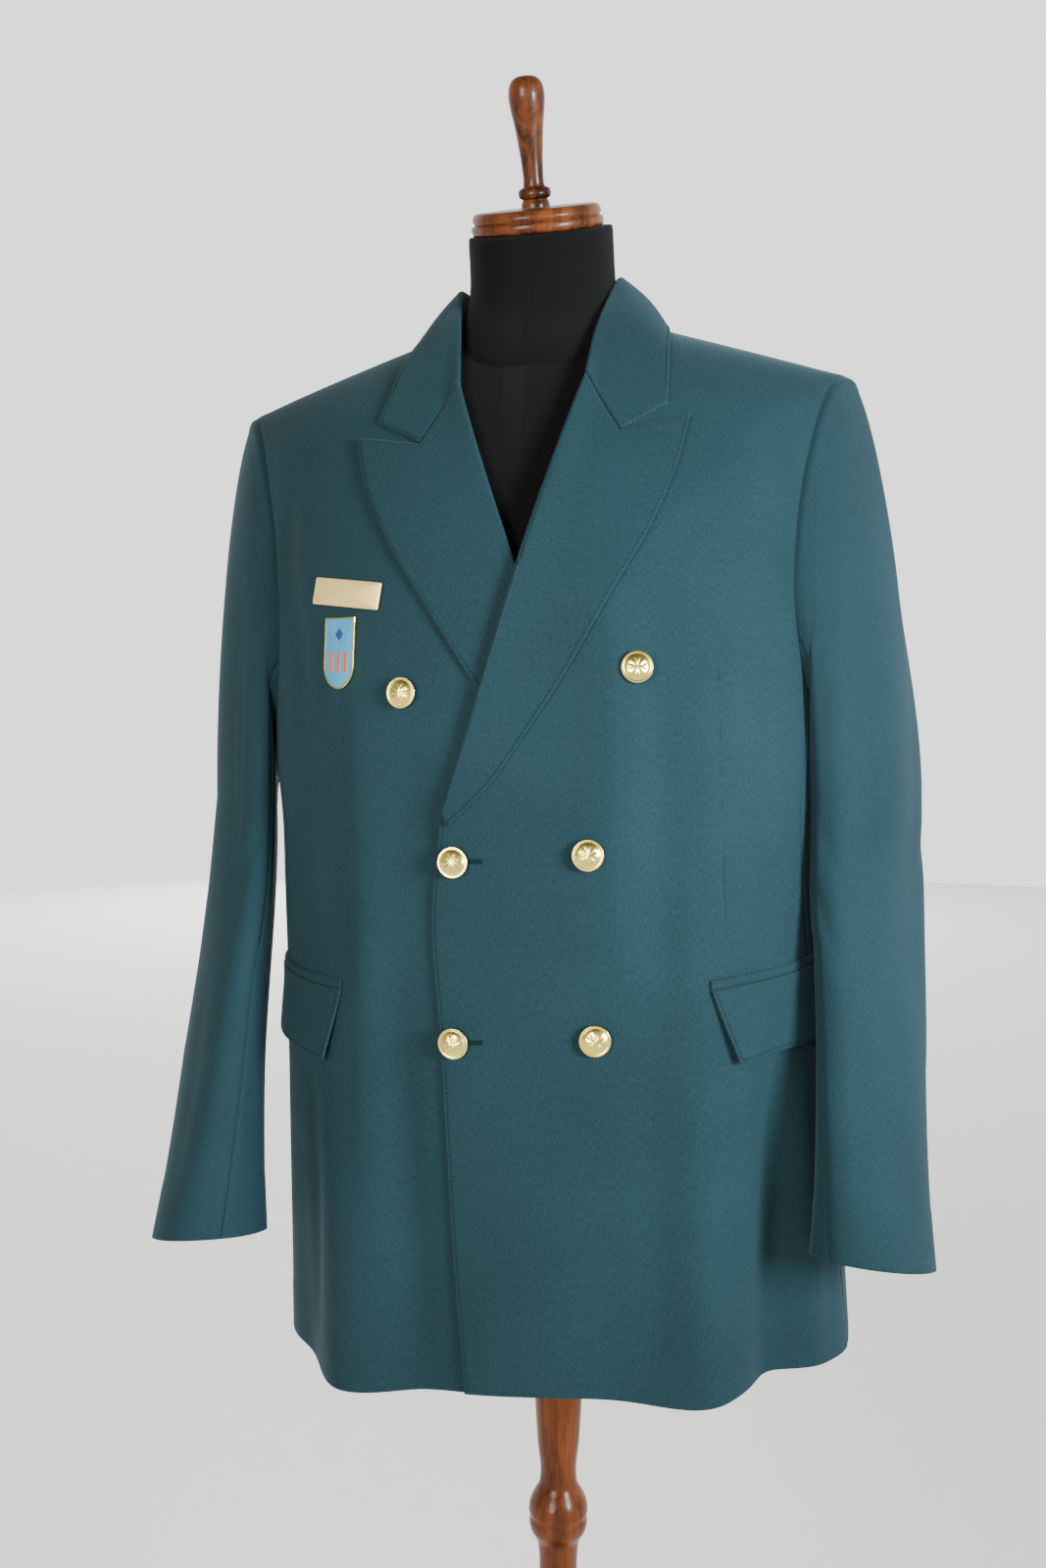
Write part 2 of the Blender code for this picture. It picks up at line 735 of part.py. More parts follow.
def front_panel(side, columns):
    """Grid of body angles and levels over one front, from its front edge to the side seam or the armhole."""
    levels = front_levels()
    edge = np.full(len(levels), -0.05)
    for _ in range(12):
        half = body(math.pi / 2, levels)[:, 0]
        z = body(np.arcsin(np.clip(edge / half, -1, 1)), levels)[:, 2]
        edge = front_edge_x(z)
    square = read(column(BODY_RINGS, "z"), column(BODY_RINGS, "square"), np.minimum(z, CHEST_Z))
    first = np.arcsin(signed_power(np.clip(edge / half, -1, 1), square / 2))
    last = side_seam(levels, False)
    last = last - seam_gap(last, levels)
    share = np.linspace(0, 1, columns)[None, :]
    angles = first[:, None] + (last - first)[:, None] * share
    return side * angles, np.broadcast_to(levels[:, None], angles.shape)


def build_fronts(cloth):
    for name, side in SIDES.items():
        angles, levels = front_panel(side, 14)
        lift = lift_of(side, angles, levels)
        wall(name + "_front", outer(angles, levels, lift), outer(angles, levels, lift - CLOTH), cloth)


def build_sides(cloth):
    top_angle, top_level = armhole(np.radians(np.array(UNDER_TURNS, float)))
    levels = np.array(SEAM_SHARES)[:, None] * top_level[None, :]
    share = (top_angle - top_angle[0]) / (top_angle[-1] - top_angle[0])
    first = side_seam(levels, False)
    last = side_seam(levels, True)
    first = first + seam_gap(first, levels)
    last = last - seam_gap(last, levels)
    angles = first + (last - first) * share[None, :]
    for name, side in SIDES.items():
        wall(name + "_side", outer(side * angles, levels), outer(side * angles, levels, -CLOTH), cloth)


def back_top(x):
    """Level of a back panel's top edge: the shoulder seam, and inside the neck point the neckline."""
    inside = np.clip(1 - (x / NECK_POINT_X) ** 2, 0, 1)
    return 2 - SEAM / 0.7 - BACK_NECK_DROP * np.sqrt(inside)


def build_backs(cloth):
    for name, side in SIDES.items():
        _, above = armhole(np.radians(np.array(BACK_TURNS[1:], float)))
        levels = np.concatenate([seam_levels(True), above])[:, None]
        share = np.array([0, 0.08, 0.17, 0.25, 0.30, 0.345, 0.48, 0.64, 0.82, 1.0])[None, :]
        angles = np.zeros((levels.shape[0], share.shape[1])) + math.pi
        for _ in range(8):
            x = np.abs(body(angles, np.minimum(levels, 2))[..., 0])
            top = back_top(x)
            scaled = np.where(levels > 1, 1 + (levels - 1) * (top - 1), levels)
            last = side_seam(scaled, True)
            last = last + seam_gap(last, scaled)
            first = math.pi - seam_gap(math.pi, scaled)
            angles = first + (last - first) * share
        wall(name + "_back", outer(side * angles, scaled), outer(side * angles, scaled, -CLOTH), cloth)


def sleeve_ring(side, turn, z):
    """A point of the hanging sleeve: an oval with unlike inner and outer halves, turned a little to the front."""
    key = column(SLEEVE_RINGS, "z")[::-1]
    place = {name: read(key, column(SLEEVE_RINGS, name)[::-1], z) for name in SleeveRing._fields[1:]}
    reach = place["out_left" if side > 0 else "out_right"]
    short = np.where(np.cos(turn) > 0, reach, place["inn"]) * np.cos(turn)
    long = np.where(np.sin(turn) > 0, place["fore"], place["aft"]) * np.sin(turn)
    swing = np.radians(place["turn_deg"])
    x = place["x_left" if side > 0 else "x_right"] + short * np.cos(swing) - long * np.sin(swing)
    y = place["y"] - short * np.sin(swing) - long * np.cos(swing)
    tilt = np.clip((SLEEVE_TOP_Z - z) / (SLEEVE_TOP_Z - CUFF_Z), 0, 1)
    rise = -(tilt**2) * (CUFF_TILT * (y - place["y"]) + CUFF_DROP * short + RIGHT_CUFF_LOW * (side < 0))
    return np.stack([side * x, y, z + rise], axis=-1)


def sleeve(side, turn, down):
    """The sleeve by turn round it and by the way down: 0 to 1 is the cap from the armhole, 1 to 2 the hanging part.
    The cap is a Hermite curve from each point of the armhole, leaving it outward, to the top ring, going down."""
    turn, down = np.broadcast_arrays(np.asarray(turn, float), np.asarray(down, float))
    angle, level = armhole(turn % (2 * math.pi))
    start = leant(body(side * angle, level))
    low = np.clip(down - 1, 0, 1)
    end = sleeve_ring(side, turn, np.where(down > 1, SLEEVE_TOP_Z + (CUFF_Z - SLEEVE_TOP_Z) * low, SLEEVE_TOP_Z))
    upper = (1 + np.cos(turn)) / 2
    leave = np.stack([side * np.ones_like(turn), -0.45 * np.sin(turn), -0.15 * upper - 0.05], axis=-1)
    leave /= np.linalg.norm(leave, axis=-1, keepdims=True)
    pull = CAP_PULL[0] + CAP_PULL[1] * upper
    drop = CAP_LENGTH[0] + CAP_LENGTH[1] * upper
    way = np.clip(down, 0, 1)[..., None]
    arrive = np.stack([np.zeros_like(turn), np.zeros_like(turn), -drop], axis=-1)
    start = start + leave * SEAM
    cap = (
        start * (1 + 2 * way) * (1 - way) ** 2
        + leave * pull[..., None] * way * (1 - way) ** 2
        + end * way**2 * (3 - 2 * way)
        + arrive * way**2 * (way - 1)
    )
    return np.where(down[..., None] > 1, end, cap)


def sleeve_turns():
    """Columns of the upper and the under sleeve, at the armhole's own points, with half a seam gap at their ends."""
    gap = math.degrees(1.5 * SEAM / SLEEVE_REACH)
    turns = np.unique(np.array(FRONT_TURNS + UNDER_TURNS + BACK_TURNS, float))
    under = turns[(turns >= FRONT_SEAM_TURN) & (turns <= BACK_SEAM_TURN)]
    upper = np.concatenate([turns[(turns >= BACK_SEAM_TURN) & (turns < 360)] - 360, turns[turns <= FRONT_SEAM_TURN]])
    for columns in (under, upper):
        columns[0] += gap
        columns[-1] -= gap
    return {"upper": np.radians(upper), "under": np.radians(under)}


def build_sleeves(cloth):
    downs = np.concatenate([[0, 0.06, 0.14, 0.25, 0.4, 0.58, 0.78], np.linspace(1, 2, 9)])[:, None]
    for name, side in SIDES.items():
        for part, turns in sleeve_turns().items():
            turns = turns[None, :]
            face = sleeve(side, turns, downs)
            along = sleeve(side, turns + 1e-3, downs) - sleeve(side, turns - 1e-3, downs)
            way = sleeve(side, turns, np.minimum(downs + 1e-3, 2)) - sleeve(side, turns, np.maximum(downs - 1e-3, 0))
            normal = -side * np.cross(way, along)
            normal /= np.linalg.norm(normal, axis=-1, keepdims=True)
            wall(f"{name}_{part}_sleeve", face, face - normal * CLOTH, cloth, lean=False)


def polyline(points, counts):
    """Points along straight runs, so that the corners between runs are kept."""
    runs = [
        np.linspace(points[i], points[i + 1], counts[i], endpoint=False) for i in range(len(counts))
    ]
    return np.concatenate([*runs, [points[-1]]])


def lapel_plan(rows):
    """Front-view places of the lapel: rows from the break up to the gorge and peak, columns from the roll outward."""
    along = np.linspace(0, 1, rows)
    key = column(LAPEL_EDGE, "along")
    edge = np.stack([read(key, column(LAPEL_EDGE, name), along) for name in ("x", "z")], axis=-1)
    bottom_z = BREAK_Z + LAPEL_START
    roll_z = bottom_z + (GORGE_TOP[1] - bottom_z) * along
    roll = np.stack([roll_x(roll_z), roll_z], axis=-1)
    top = polyline((GORGE_TOP, GORGE, PEAK), (3, 4))
    share = np.linspace(0, 1, len(top))[None, :, None]
    straight_top = roll[-1] + (edge[-1] - roll[-1]) * share[0]
    bend = (top - straight_top)[None, :, :] * (along[:, None, None] ** 3)
    return roll[:, None, :] * (1 - share) + edge[:, None, :] * share + bend


def turned_back(side, plan, radius, base):
    """Centre line grid of cloth that comes round a roll and lies back on the panel: half a circle, then the plan."""
    x = plan[..., 0]
    z = plan[..., 1]
    flat = front_view(side, x, z, base + CLOTH / 2 + REST)
    angle, level = front_chart(side * x[:, 0], z[:, 0])
    up = normal_of(body, angle, level)
    outward = flat[:, 1] - flat[:, 0]
    outward -= up * (outward * up).sum(axis=-1, keepdims=True)
    outward /= np.linalg.norm(outward, axis=-1, keepdims=True)
    root = front_face(side, angle, level, base - CLOTH / 2)
    turns = np.radians([0, 0, 45, 90, 135, 180])
    reach = np.array([FOLD_ROOM - 0.0008, 0, 0, 0, 0, 0])
    arc = (
        root[:, None]
        + outward[:, None] * np.maximum(radius + 0.0003 - radius * np.sin(turns), reach)[..., None]
        + up[:, None] * (radius * (1 - np.cos(turns)))[..., None]
    )
    away = np.linalg.norm(flat - flat[:, :1], axis=-1)
    proud = np.maximum(2 * radius - CLOTH - REST, 0) * np.exp(-((away / 0.016) ** 2))
    laid = flat + up[:, None] * proud[..., None]
    return np.concatenate([arc, laid[:, 1:]], axis=1), up


def thicken(name, centre, facing, material):
    normal = grid_normals(centre, facing)
    wall(name, centre + normal * CLOTH / 2, centre - normal * CLOTH / 2, material)


def arc_facing(centre, up, arcs):
    """Outward side of a turned-back grid: over the arc it swings from under the panel, round, to the top."""
    facing = np.repeat(up[:, None], centre.shape[1], axis=1)
    middle = (centre[:, 1:2] + centre[:, arcs - 1 : arcs]) / 2
    swing = centre[:, :arcs] - middle
    facing[:, :arcs] = swing / np.maximum(np.linalg.norm(swing, axis=-1, keepdims=True), 1e-9)
    return facing


def build_lapels(cloth):
    for name, side in SIDES.items():
        plan = lapel_plan(15)
        height = plan[:, 0, 1]
        soft_from = 1.10 if side > 0 else 1.235
        radius = (FLAT_ROLL + (SOFT_ROLL - FLAT_ROLL) * ease(height, soft_from, soft_from + 0.10))[:, None]
        centre, up = turned_back(side, plan, radius, 0.0)
        thicken(name + "_lapel", centre, arc_facing(centre, up, 6), cloth)


def over_shoulder(x, z, facing):
    """Place on the body seen at x, z from the front or from behind, as one run from the front (0) over the shoulder
    line (1) to the back (2)."""
    _, level = front_chart(x, np.minimum(z, ridge_z(x)))
    rise = np.clip(level - 1, 0, 1)
    return np.where(facing > 0, rise, 2 - rise)


def top_point(x, run, lift):
    """The point of the body surface at x and a run over the shoulder, moved out."""
    rise = np.minimum(run, 2 - run)
    half = read(column(SHOULDER_WIDTHS, "rise"), column(SHOULDER_WIDTHS, "half_width"), rise)
    square = BODY_RINGS[-1].square
    angle = np.arcsin(signed_power(np.clip(x / half, -1, 1), square / 2))
    angle = np.where(run > 1, math.pi - angle, angle)
    return outer(angle, 1 + rise, lift)


def neck_runs():
    """Run over the shoulder of the neckline's table: behind it dips, in front it goes down to the gorge."""
    behind = [1 + BACK_NECK_DROP * math.sqrt(1 - (x / NECK_POINT_X) ** 2) for x in NECK_X[:3]]
    ahead = over_shoulder(np.array(NECK_X[4:]), np.array(NECK_Z[1:]), 1)
    return np.array([*behind, 1.0, *ahead])


def build_collar(cloth):
    """The collar: from the neckline up its stand, round the fold, and down its fall to the outer edge. Its front ends
    turn into the lapels' own roll, and lie on the fronts between the gorge and the collar's point."""
    half = np.concatenate([np.linspace(0, 0.44, 5), [0.48, 0.515], np.linspace(0.55, 1, 9)])
    along = np.concatenate([-half[:0:-1], half])
    side = np.where(along < 0, -1.0, 1.0)
    q = np.abs(along)
    table = np.array(FOLD_LINE)
    fold = np.stack([read(table[:, 0], table[:, i], q) for i in (1, 2, 3)], axis=-1)
    fold[:, 0] = shifted(fold[:, 0] * side) * side
    key = column(COLLAR_EDGE, "along")
    edge_x = {sign: column(COLLAR_EDGE, name) for sign, name in ((1, "x_left"), (-1, "x_right"))}
    height, ahead = column(COLLAR_EDGE, "z"), column(COLLAR_EDGE, "facing")
    runs = {sign: over_shoulder(x, height, ahead) for sign, x in edge_x.items()}
    x = np.where(side > 0, read(key, edge_x[1], q), read(key, edge_x[-1], q))
    run = np.where(side > 0, read(key, runs[1], q), read(key, runs[-1], q))
    outside = mirrored(top_point(side * x, run, REST + CLOTH / 2), side)
    seat = mirrored(top_point(side * read(NECK_ALONG, NECK_X, q), read(NECK_ALONG, neck_runs(), q), -CLOTH / 2), side)
    apex = fold - (seat + outside) / 2
    apex /= np.linalg.norm(apex, axis=-1, keepdims=True)
    across = outside - seat
    across -= apex * (across * apex).sum(axis=-1, keepdims=True)
    across /= np.linalg.norm(across, axis=-1, keepdims=True)
    radius = COLLAR_ROLL
    seat = seat + (fold - seat) * (STAND_FOOT / np.linalg.norm(fold - seat, axis=-1))[:, None]
    core = fold - apex * radius
    turns = np.radians([0, 45, 90, 135, 180])[None, :, None]
    arc = core[:, None] - across[:, None] * radius * np.cos(turns) + apex[:, None] * radius * np.sin(turns)
    stand = seat[:, None] + (arc[:, :1] - seat[:, None]) * np.array([0, 0.5])[None, :, None]
    down = np.array([0.2, 0.4, 0.6, 0.8, 1.0])[None, :, None]
    straight = arc[:, -1:] + (outside[:, None] - arc[:, -1:]) * down
    fall = straight + across[:, None] * (COLLAR_BOW * np.sin(math.pi * down))
    centre = np.concatenate([stand, arc, fall], axis=1)
    centre = np.where(side[:, None, None] < 0, centre * [-1, 1, 1], centre)
    facing = collar_facing(centre)
    for end, sign in ((0, -1), (-1, 1)):
        near = ease(q, 0.62, 1.0)[:, None, None] * (side == sign)[:, None, None]
        goal, goal_facing = collar_end(sign)
        centre = centre + (goal - centre[end])[None] * near**1.5
        facing = facing + (goal_facing - facing[end])[None] * near**1.5
    centre[:, 6:] = settle(centre[:, 6:], REST + CLOTH / 2)
    thicken("collar", centre, facing, cloth)


def mirrored(points, side):
    """Points of the right half turned over to the left, so that both halves are worked out alike."""
    points = points.copy()
    points[:, 0] *= side
    return points


def collar_facing(centre):
    """Outward side of the collar's rows: away from the middle line between its stand and its fall."""
    middle = (centre[:, 2:3] + centre[:, 6:7]) / 2
    facing = centre - middle
    facing[:, :2] = facing[:, 2:3]
    facing[:, 7:] = facing[:, 6:7]
    return facing / np.linalg.norm(facing, axis=-1, keepdims=True)


def collar_end(side):
    """The collar's last row: the lapel's own roll at the gorge, then along the gorge to the collar's point."""
    top = polyline((GORGE_TOP, GORGE, COLLAR_POINT), (3, 2))
    plan = np.stack([top, top])
    plan[..., 1] += GORGE_GAP
    centre, up = turned_back(side, plan, np.array([[SOFT_ROLL], [SOFT_ROLL]]), 0.0)
    facing = arc_facing(centre, up, 6)
    row = np.concatenate([centre[0, :1], (centre[0, :1] + centre[0, 1:2]) / 2, centre[0, 1:]])
    return row, np.concatenate([facing[0, :1], facing[0, :1], facing[0, 1:]])


def flap_grid(side, rows, columns, top_up, bottom_up):
    """Body angle and height of a strip between two heights over the flap's top line."""
    share = np.linspace(0, 1, columns)[None, :]
    down = np.linspace(0, 1, rows)[:, None]
    z_line = FLAP_TOP_Z[0] + (FLAP_TOP_Z[1] - FLAP_TOP_Z[0]) * share
    z = z_line + top_up + (bottom_up - top_up) * down
    return share, down, z, (z - HEM_Z) / (CHEST_Z - HEM_Z)


def build_pockets(cloth):
    for name, side in SIDES.items():
        share, down, _, level = flap_grid(side, 6, 9, 0.0, -FLAP_DROP)
        top_deg, low_deg = FLAP_FRONT_DEG[name]
        first = np.radians(top_deg + (low_deg - top_deg) * down)
        last = math.radians(FLAP_BACK_DEG)
        angle = first + (last - first) * share
        stand = 0.0006 + 0.0030 * ease(down, 0.0, 1.0) + lift_of(side, side * angle, level)
        face = outer(side * angle, level, stand + FLAP_THICK)
        wall(name + "_pocket_flap", face, outer(side * angle, level, stand), cloth)
        share, down, _, level = flap_grid(side, 2, 9, SEAM + WELT_HIGH, SEAM)
        angle = np.radians(top_deg + (FLAP_BACK_DEG - top_deg) * share) + 0 * down
        stand = REST + lift_of(side, side * angle, level)
        face = outer(side * angle, level, stand + CLOTH)
        wall(name + "_pocket_welt", face, outer(side * angle, level, stand), cloth)


def turned(name, profile, steps, material, matrix=None):
    """A profile of (radius, height) from top to bottom on the +X side, turned about Z."""
    mesh = bpy.data.meshes.new(name)
    points = [(radius, 0.0, height) for radius, height in profile]
    mesh.from_pydata(points, [(i, i + 1) for i in range(len(points) - 1)], [])
    made = bpy.data.objects.new(name, mesh)
    made.data.materials.append(material)
    bpy.data.collections["uniform_jacket"].objects.link(made)
    screw = made.modifiers.new("turn", "SCREW")
    screw.steps = steps
    screw.render_steps = steps
    screw.use_merge_vertices = True
    screw.merge_threshold = 0.00001
    screw.use_smooth_shade = True
    if matrix is not None:
        made.matrix_world = matrix
    return made


def frame_at(point, normal, up=(0.0, 0.0, 1.0)):
    """Matrix that puts Z along a normal and Y as near up as it goes."""
    z_axis = Vector(normal).normalized()
    x_axis = Vector(up).cross(z_axis).normalized()
    y_axis = z_axis.cross(x_axis)
    matrix = Matrix((x_axis, y_axis, z_axis)).transposed().to_4x4()
    matrix.translation = Vector(point)
    return matrix


def on_front(side, x, z, more):
    """Leant point and normal over a front, seen from ahead at the signed x."""
    angle, level = front_chart(x, z)
    lift = lift_of(side, angle, level)
    point = leant(outer(angle, level, lift + more))
    normal = leant(outer(angle, level, lift + more + 1.0)) - point
    return point, normal


def build_buttons(gilt):
    r = BUTTON_RADIUS
    profile = (
        (0.0, 0.0066),
        (0.35 * r, 0.0063),
        (0.62 * r, 0.0054),
        (0.80 * r, 0.0042),
        (0.84 * r, 0.0040),
        (0.93 * r, 0.0042),
        (r, 0.0036),
        (0.97 * r, 0.0028),
        (0.85 * r, 0.0024),
        (0.16 * r, 0.0022),
        (0.16 * r, 0.0),
        (0.0, 0.0),
    )
    for name, x, z, side in BUTTONS:
        point, normal = on_front(side, x, z, SEAM)
        turned(name, profile, 14, gilt, frame_at(point, normal))


def build_plate_and_pin(plate, enamel):
    wide, high, thick = PLATE
    point, normal = on_front(-1, *PLATE_AT, SEAM)
    bpy.ops.mesh.primitive_cube_add(size=1.0)
    made = bpy.context.object
    made.name = "name_plate"
    made.data.transform(Matrix.Diagonal((wide, high, thick, 1.0)))
    made.data.materials.append(plate)
    slant = (math.sin(PLATE_TURN), 0.0, math.cos(PLATE_TURN))
    made.matrix_world = frame_at(point + normal * thick / 2, normal, slant)
    move_to_jacket(made)
    wide, high, thick = PIN_SIZE
    outline = [(-wide / 2, high / 2), (wide / 2, high / 2), (wide / 2, -high * 0.16)]
    outline += [
        (wide / 2 * math.cos(t), -high * 0.16 - high * 0.34 * math.sin(t))
        for t in np.linspace(0, math.pi, 9)[1:-1]
    ]
    outline.append((-wide / 2, -high * 0.16))
    outline = outline[::-1]
    count = len(outline)
    points = [(x, y, 0.0) for x, y in outline] + [(x, y, thick) for x, y in outline]
    faces = [list(range(count))[::-1], list(range(count, 2 * count))]
    faces += [[i, (i + 1) % count, (i + 1) % count + count, i + count] for i in range(count)]
    pin = object_of("shield_pin", points, faces, enamel, lean=False)
    point, normal = on_front(-1, *PIN_AT, SEAM)
    pin.matrix_world = frame_at(point, normal)


def move_to_jacket(made):
    for group in list(made.users_collection):
        group.objects.unlink(made)
    bpy.data.collections["uniform_jacket"].objects.link(made)


def tube_mesh(rings):
    """A closed tube through rings of points, capped with a fan at each end."""
    rows, columns = rings.shape[:2]
    points = np.concatenate([rings.reshape(-1, 3), [rings[0].mean(axis=0)], [rings[-1].mean(axis=0)]])
    faces = []
    for row in range(rows - 1):
        for k in range(columns):
            a = row * columns + k
            b = row * columns + (k + 1) % columns
            faces.append([a, b, b + columns, a + columns])
    low = rows * columns
    last = (rows - 1) * columns
    faces += [[(k + 1) % columns, k, low] for k in range(columns)]
    faces += [[last + k, last + (k + 1) % columns, low + 1] for k in range(columns)]
    return points, faces


def form_surface(angle, level):
    """The form under the jacket: the same surface, smaller all round and just under the cloth at the shoulders, and a
    little more beside the neck, where the shoulder bends most."""
    place = body(angle, level, narrow=0.017, ease_in=0.012, sink=FORM_INSET)
    place[..., 2] -= NECK_INSET * np.exp(-((place[..., 0] / 0.11) ** 4)) * (level > 1.5)
    return place


def neck_rings():
    """Rings from inside the shoulders up to the tilted top of the neck."""
    turns = np.linspace(0, 2 * math.pi, 28, endpoint=False)
    rows = []
    for share in np.linspace(0, 1, 7):
        radius = NECK_RADIUS + NECK_FLARE * (1 - ease(share, 0.0, 0.75))
        tilt = NECK_TILT * share
        centre = np.array([NECK_TOP[0], *NECK_FOOT]) * (1 - share) + np.array(NECK_TOP) * share
        x = radius * np.sin(turns)
        y = -radius * np.cos(turns)
        row = [centre[0] + x, centre[1] + y * math.cos(tilt), centre[2] + y * math.sin(tilt)]
        rows.append(np.stack(row, axis=-1))
    return np.array(rows)


def build_form(jersey):
    """Torso and neck of the dress form, joined into one body."""
    bottom = (FORM_BOTTOM_Z - HEM_Z) / (CHEST_Z - HEM_Z)
    levels = np.concatenate([np.linspace(bottom, 1, 8, endpoint=False), np.linspace(1, 2, 9)])
    angles = np.linspace(0, 2 * math.pi, 36, endpoint=False)
    rings = form_surface(angles[None, :], levels[:, None])
    points, faces = tube_mesh(rings[:-1])
    rows, columns = rings.shape[:2]
    ridge = rings[-1].copy()
    faces = faces[: (rows - 2) * columns + columns]
    points = np.concatenate([points[:-1], ridge])
    last = (rows - 2) * columns
    first = len(points) - columns
    faces += [
        [last + k, last + (k + 1) % columns, first + (k + 1) % columns, first + k] for k in range(columns)
    ]
    torso = object_of("form_body", points, faces, jersey)
    points, faces = tube_mesh(neck_rings())
    neck = object_of("form_neck", points, faces, jersey)
    move_to_cutters(neck)
    union = torso.modifiers.new("neck", "BOOLEAN")
    union.operation = "UNION"
    union.object = neck
    return torso


def move_to_cutters(made):
    for group in list(made.users_collection):
        group.objects.unlink(made)
    bpy.data.collections["cutters"].objects.link(made)
    made.hide_render = True
    made.display_type = "WIRE"


def build_wood(wood, neck_wood):
    middle = np.array(NECK_TOP) + np.array([CAP_SHIFT, 0.0, 0.0])
    top = leant(middle)
    axis = leant(middle + np.array([0.0, -math.sin(NECK_TILT), math.cos(NECK_TILT)])) - top
    cap_high = CAP_PROFILE[0][1]
    back = (0.0, 1.0, 0.0)
    turned("neck_cap", CAP_PROFILE, 28, neck_wood, frame_at(top + axis * SEAM, axis, back))
    turned("finial", FINIAL_PROFILE, 18, neck_wood, frame_at(top + axis * (2 * SEAM + cap_high), axis, back))
    turned("pole", POLE_PROFILE, 18, wood)
    turned("base", BASE_PROFILE, 32, wood)


def main():
    for old in list(bpy.data.objects):
        bpy.data.objects.remove(old)
    for name in ("uniform_jacket", "cutters"):
        bpy.context.scene.collection.children.link(bpy.data.collections.new(name))
    cloth = paint("cloth", (0.042, 0.105, 0.118), 0.8)
    gilt = paint("gilt", (0.85, 0.70, 0.28), 0.3, 1.0)
    plate = paint("plate", (0.90, 0.68, 0.36), 0.35, 0.6)
    enamel = paint("enamel", (0.10, 0.46, 0.72), 0.25)
    jersey = paint("jersey", (0.013, 0.013, 0.014), 0.9)
    wood = paint("pole_wood", (0.19, 0.05, 0.022), 0.3)
    neck_wood = paint("neck_wood", (0.12, 0.03, 0.015), 0.25)
    build_form(jersey)
    build_wood(wood, neck_wood)
    build_fronts(cloth)
    build_sides(cloth)
    build_backs(cloth)
    build_sleeves(cloth)
    build_lapels(cloth)
    build_collar(cloth)
    build_pockets(cloth)
    build_buttons(gilt)
    build_plate_and_pin(plate, enamel)


main()
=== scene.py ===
"""Visual model of a double-breasted uniform jacket on a limbless dress form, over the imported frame.

Metres, +Z up; the wearer faces -Y and the wearer's left is +X. Every cloth piece is a thin closed wall on
one body surface, worked out from a table of rings, with the main creases laid on it as soft ridges and
troughs."""

import math
from collections import namedtuple

import bpy
import numpy as np
from mathutils import Matrix, Vector


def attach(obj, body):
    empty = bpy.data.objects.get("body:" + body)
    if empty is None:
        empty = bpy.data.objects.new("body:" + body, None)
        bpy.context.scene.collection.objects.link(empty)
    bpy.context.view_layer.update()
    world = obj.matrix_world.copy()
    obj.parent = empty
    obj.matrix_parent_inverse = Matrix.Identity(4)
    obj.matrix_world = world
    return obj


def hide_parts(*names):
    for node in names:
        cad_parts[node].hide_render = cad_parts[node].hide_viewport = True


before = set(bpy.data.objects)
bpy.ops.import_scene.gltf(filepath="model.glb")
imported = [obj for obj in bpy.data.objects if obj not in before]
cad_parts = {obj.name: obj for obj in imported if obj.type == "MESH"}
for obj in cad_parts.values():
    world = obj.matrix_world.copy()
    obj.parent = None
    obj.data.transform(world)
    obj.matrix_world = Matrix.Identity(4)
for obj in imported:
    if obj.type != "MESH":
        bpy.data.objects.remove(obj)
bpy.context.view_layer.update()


# Driving dimensions
CLOTH = 0.0016  # thickness of every cloth wall
SEAM = 0.0003  # gap between two solids that are sewn together
SEWN_GAP = 0.00002  # half the gap between two sewn pieces of cloth
TUCK = 0.0016  # how far a sleeve's edge goes into the armhole
HEM_Z = 0.660
CHEST_Z = 1.100  # level of the underarm, where the rings stop being level
RIDGE_TOP_Z = 1.4376  # height at which the two shoulder lines would meet over the neck
SHOULDER_SLOPE = 0.31
RIDGE_Y = 0.002
SHOULDER_ROLL = 2.25  # squareness of the curve from the chest up over the shoulder
ROLL_DEEP = 0.13  # that curve's depth and height, near enough to share out its length
ROLL_TALL = 0.29
RIDGE_ROUND = 0.0002  # square of the half width over which the shoulder line's peak is rounded
TOP_EDGE = 2 - SEAM / 0.7  # level of a panel's edge along the shoulder seam
TOP_LEVEL = 1.998  # highest level at which a normal is measured
STEP = 1e-4  # of angle and level, for a slope
TINY = 1e-12
FAR = 0.05  # distance from a sewn line at which nothing shows of it
RIM_IN = 0.12  # share of the thickness that a cut edge's corners are taken in by
RIM_OUT = 0.02  # and that its middle stands out by
LAP_LIFT = 0.0022  # how far the left front stands off the right one
LAPEL_LIFT = 0.0023  # and how much more over the right lapel
FOLD_ROOM = 0.0045  # from the line a lapel folds on to the edge of the front under it
NECK_POINT_X = 0.078  # where the shoulder seam meets the neckline
BACK_NECK_DROP = 0.19  # how far the back neckline dips, as a share of the way from shoulder to chest level
CENTRE_SHIFT = 0.005  # how far the neck sits towards the wearer's left of the shoulders' middle
CENTRE_WIDTH = 0.14
BREAK_Z = 1.054  # where the lapel starts to turn
LAPEL_START = 0.004  # how far above it the lapel's own piece starts
CROSS_Z = 1.222  # where the two roll lines cross
LEAN = math.radians(1.9)  # the form leans on its pole towards the wearer's right
LEAN_Z = 0.93
SIDES = {"left": 1, "right": -1}


# A level section of the jacket: half width, depth in front of and behind its centre, squareness.
Ring = namedtuple("Ring", "z half_width front back square centre_y")
BODY_RINGS = (
    Ring(0.66, 0.214, 0.15, 0.142, 2.35, -0.012), Ring(0.76, 0.211, 0.15, 0.134, 2.4, -0.012),
    Ring(0.88, 0.208, 0.151, 0.126, 2.42, -0.012), Ring(0.97, 0.206, 0.152, 0.12, 2.42, -0.012),
    Ring(1.04, 0.206, 0.152, 0.122, 2.42, -0.01), Ring(1.1, 0.21, 0.152, 0.128, 2.42, -0.008),
)


